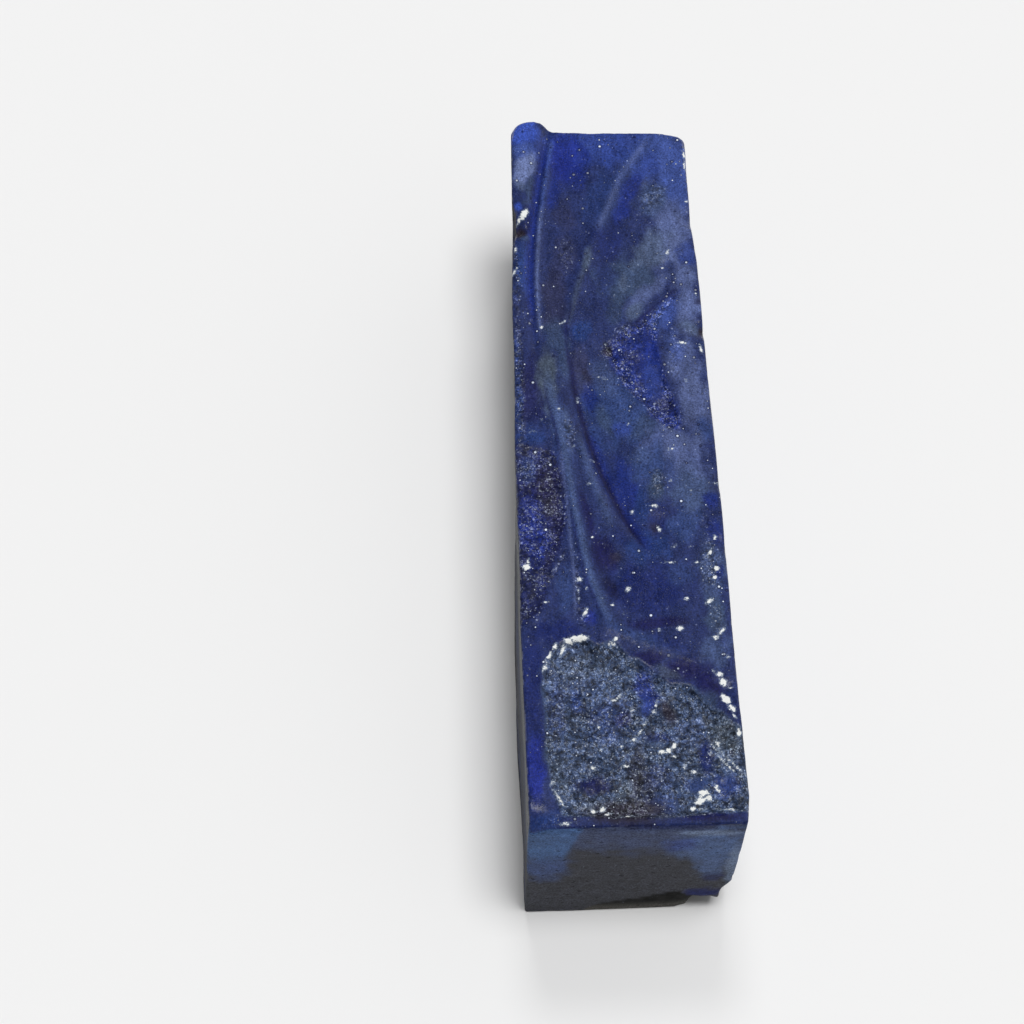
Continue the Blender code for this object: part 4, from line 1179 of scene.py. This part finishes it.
def roughness(nodes, long_place, grain, added_roughness):
    """An uneven gloss, duller in the scars, on the worn edge and on the sawn faces."""
    rough = nodes.math("MULTIPLY_ADD", grain, GRAIN_ROUGHNESS, nodes.texture(long_place, GLOSS))
    rough = nodes.math("MULTIPLY_ADD", nodes.attribute("worn"), WORN_ROUGHNESS, rough)
    return nodes.math("ADD", rough, added_roughness, clamp=True)


def facets(nodes, place, grain):
    """Tilted crystal faces in the scars, fine hammering elsewhere."""
    tilts = nodes.vector("SUBTRACT", nodes.cells(place, FACET_SIZE, "Color"), MIDDLE_GREY)
    tilts = nodes.vector("SCALE", tilts, scale=nodes.times(grain, FACET_TILT))
    normal = nodes.add("ShaderNodeNewGeometry").outputs["Normal"]
    tilted = nodes.vector("NORMALIZE", nodes.vector("ADD", normal, tilts))
    bump = nodes.add("ShaderNodeBump")
    bump.inputs["Strength"].default_value = BUMP_STRENGTH
    bump.inputs["Distance"].default_value = BUMP_DISTANCE
    nodes.put(bump.inputs["Height"], nodes.noise(place, *BUMP_NOISE))
    nodes.put(bump.inputs["Normal"], tilted)
    return bump.outputs["Normal"]


def stone_material(name, specular_level, added_roughness):
    material = bpy.data.materials.new(name)
    material.use_nodes = True
    nodes = Nodes(material.node_tree)
    shader = material.node_tree.nodes["Principled BSDF"]
    place = nodes.add("ShaderNodeTexCoord").outputs["Object"]
    place = nodes.vector("SCALE", place, scale=1.0 / MILLIMETRE)
    long_place = nodes.vector("MULTIPLY", place, LONG_STRETCH)
    glassy = nodes.attribute("glassy")
    grain = nodes.attribute("grain")
    dull = nodes.math("SUBTRACT", 1.0, glassy)
    colour = with_clouds(nodes, nodes.attribute("stone_colour", "Color"), place, long_place, glassy)
    colour = with_sugar(nodes, colour, place, grain, glassy)
    colour = with_painted_glints(nodes, colour, place)
    colour = with_saw_marks(nodes, colour, place, dull)
    nodes.put(shader.inputs["Base Color"], colour)
    nodes.put(shader.inputs["Roughness"], roughness(nodes, long_place, grain, added_roughness))
    nodes.put(shader.inputs["Normal"], facets(nodes, place, grain))
    shader.inputs["IOR"].default_value = REFRACTION
    shader.inputs["Specular IOR Level"].default_value = specular_level
    return material


def floor_material():
    material = bpy.data.materials.new("pale_floor")
    material.use_nodes = True
    shader = material.node_tree.nodes["Principled BSDF"]
    shader.inputs["Base Color"].default_value = FLOOR_COLOUR
    shader.inputs["Roughness"].default_value = 1.0
    shader.inputs["Specular IOR Level"].default_value = 0.0
    return material


def build_floor():
    grid = bmesh.new()
    bmesh.ops.create_grid(grid, x_segments=1, y_segments=1, size=FLOOR_HALF_SIZE)
    mesh = bpy.data.meshes.new("floor")
    grid.to_mesh(mesh)
    grid.free()
    mesh.materials.append(floor_material())
    floor = bpy.data.objects.new("floor", mesh)
    bpy.context.scene.collection.objects.link(floor)


def add_sun(lamp):
    """A soft sun that shines from the given direction."""
    sun = bpy.data.lights.new(lamp.name, "SUN")
    sun.energy = lamp.strength
    sun.angle = math.radians(lamp.angle)
    body = bpy.data.objects.new(lamp.name, sun)
    body.rotation_euler = Vector(lamp.direction).to_track_quat("Z", "Y").to_euler()
    body.visible_glossy = lamp.glossy
    bpy.context.scene.collection.objects.link(body)


def build_light():
    """Soft suns from above, the right and the back, and a sky that is bright on the right."""
    for lamp in SUNS:
        add_sun(lamp)
    world = bpy.data.worlds.new("studio")
    world.use_nodes = True
    nodes = Nodes(world.node_tree)
    direction = nodes.add("ShaderNodeTexCoord").outputs["Generated"]
    parts = nodes.add("ShaderNodeSeparateXYZ")
    nodes.put(parts.inputs[0], direction)
    brightness = nodes.step(parts.outputs[0], *SKY_BORDERS, *SKY_BRIGHTNESS)
    background = world.node_tree.nodes["Background"]
    background.inputs["Color"].default_value = (1.0, 1.0, 1.0, 1.0)
    nodes.put(background.inputs["Strength"], brightness)
    bpy.context.scene.world = world


def build_camera(origin):
    lens = bpy.data.cameras.new("camera")
    lens.lens = CAMERA_LENS
    lens.sensor_width = SENSOR_WIDTH
    lens.clip_start = CAMERA_CLIP_START
    camera = bpy.data.objects.new("camera", lens)
    heading = Matrix.Rotation(math.radians(-CAMERA_HEADING), 4, "Z")
    tilt = Matrix.Rotation(math.radians(90.0 - CAMERA_TILT), 4, "X")
    roll = Matrix.Rotation(math.radians(CAMERA_ROLL), 4, "Z")
    place = (CAMERA_PLACE - Vector(origin)) * MILLIMETRE
    camera.matrix_world = Matrix.Translation(place) @ heading @ tilt @ roll
    bpy.context.scene.collection.objects.link(camera)
    bpy.context.scene.camera = camera


stone, origin = build_stone()
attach(stone, "root")
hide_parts(NODE)
build_floor()
build_light()
build_camera(origin)
bpy.context.scene.view_settings.view_transform = "Standard"
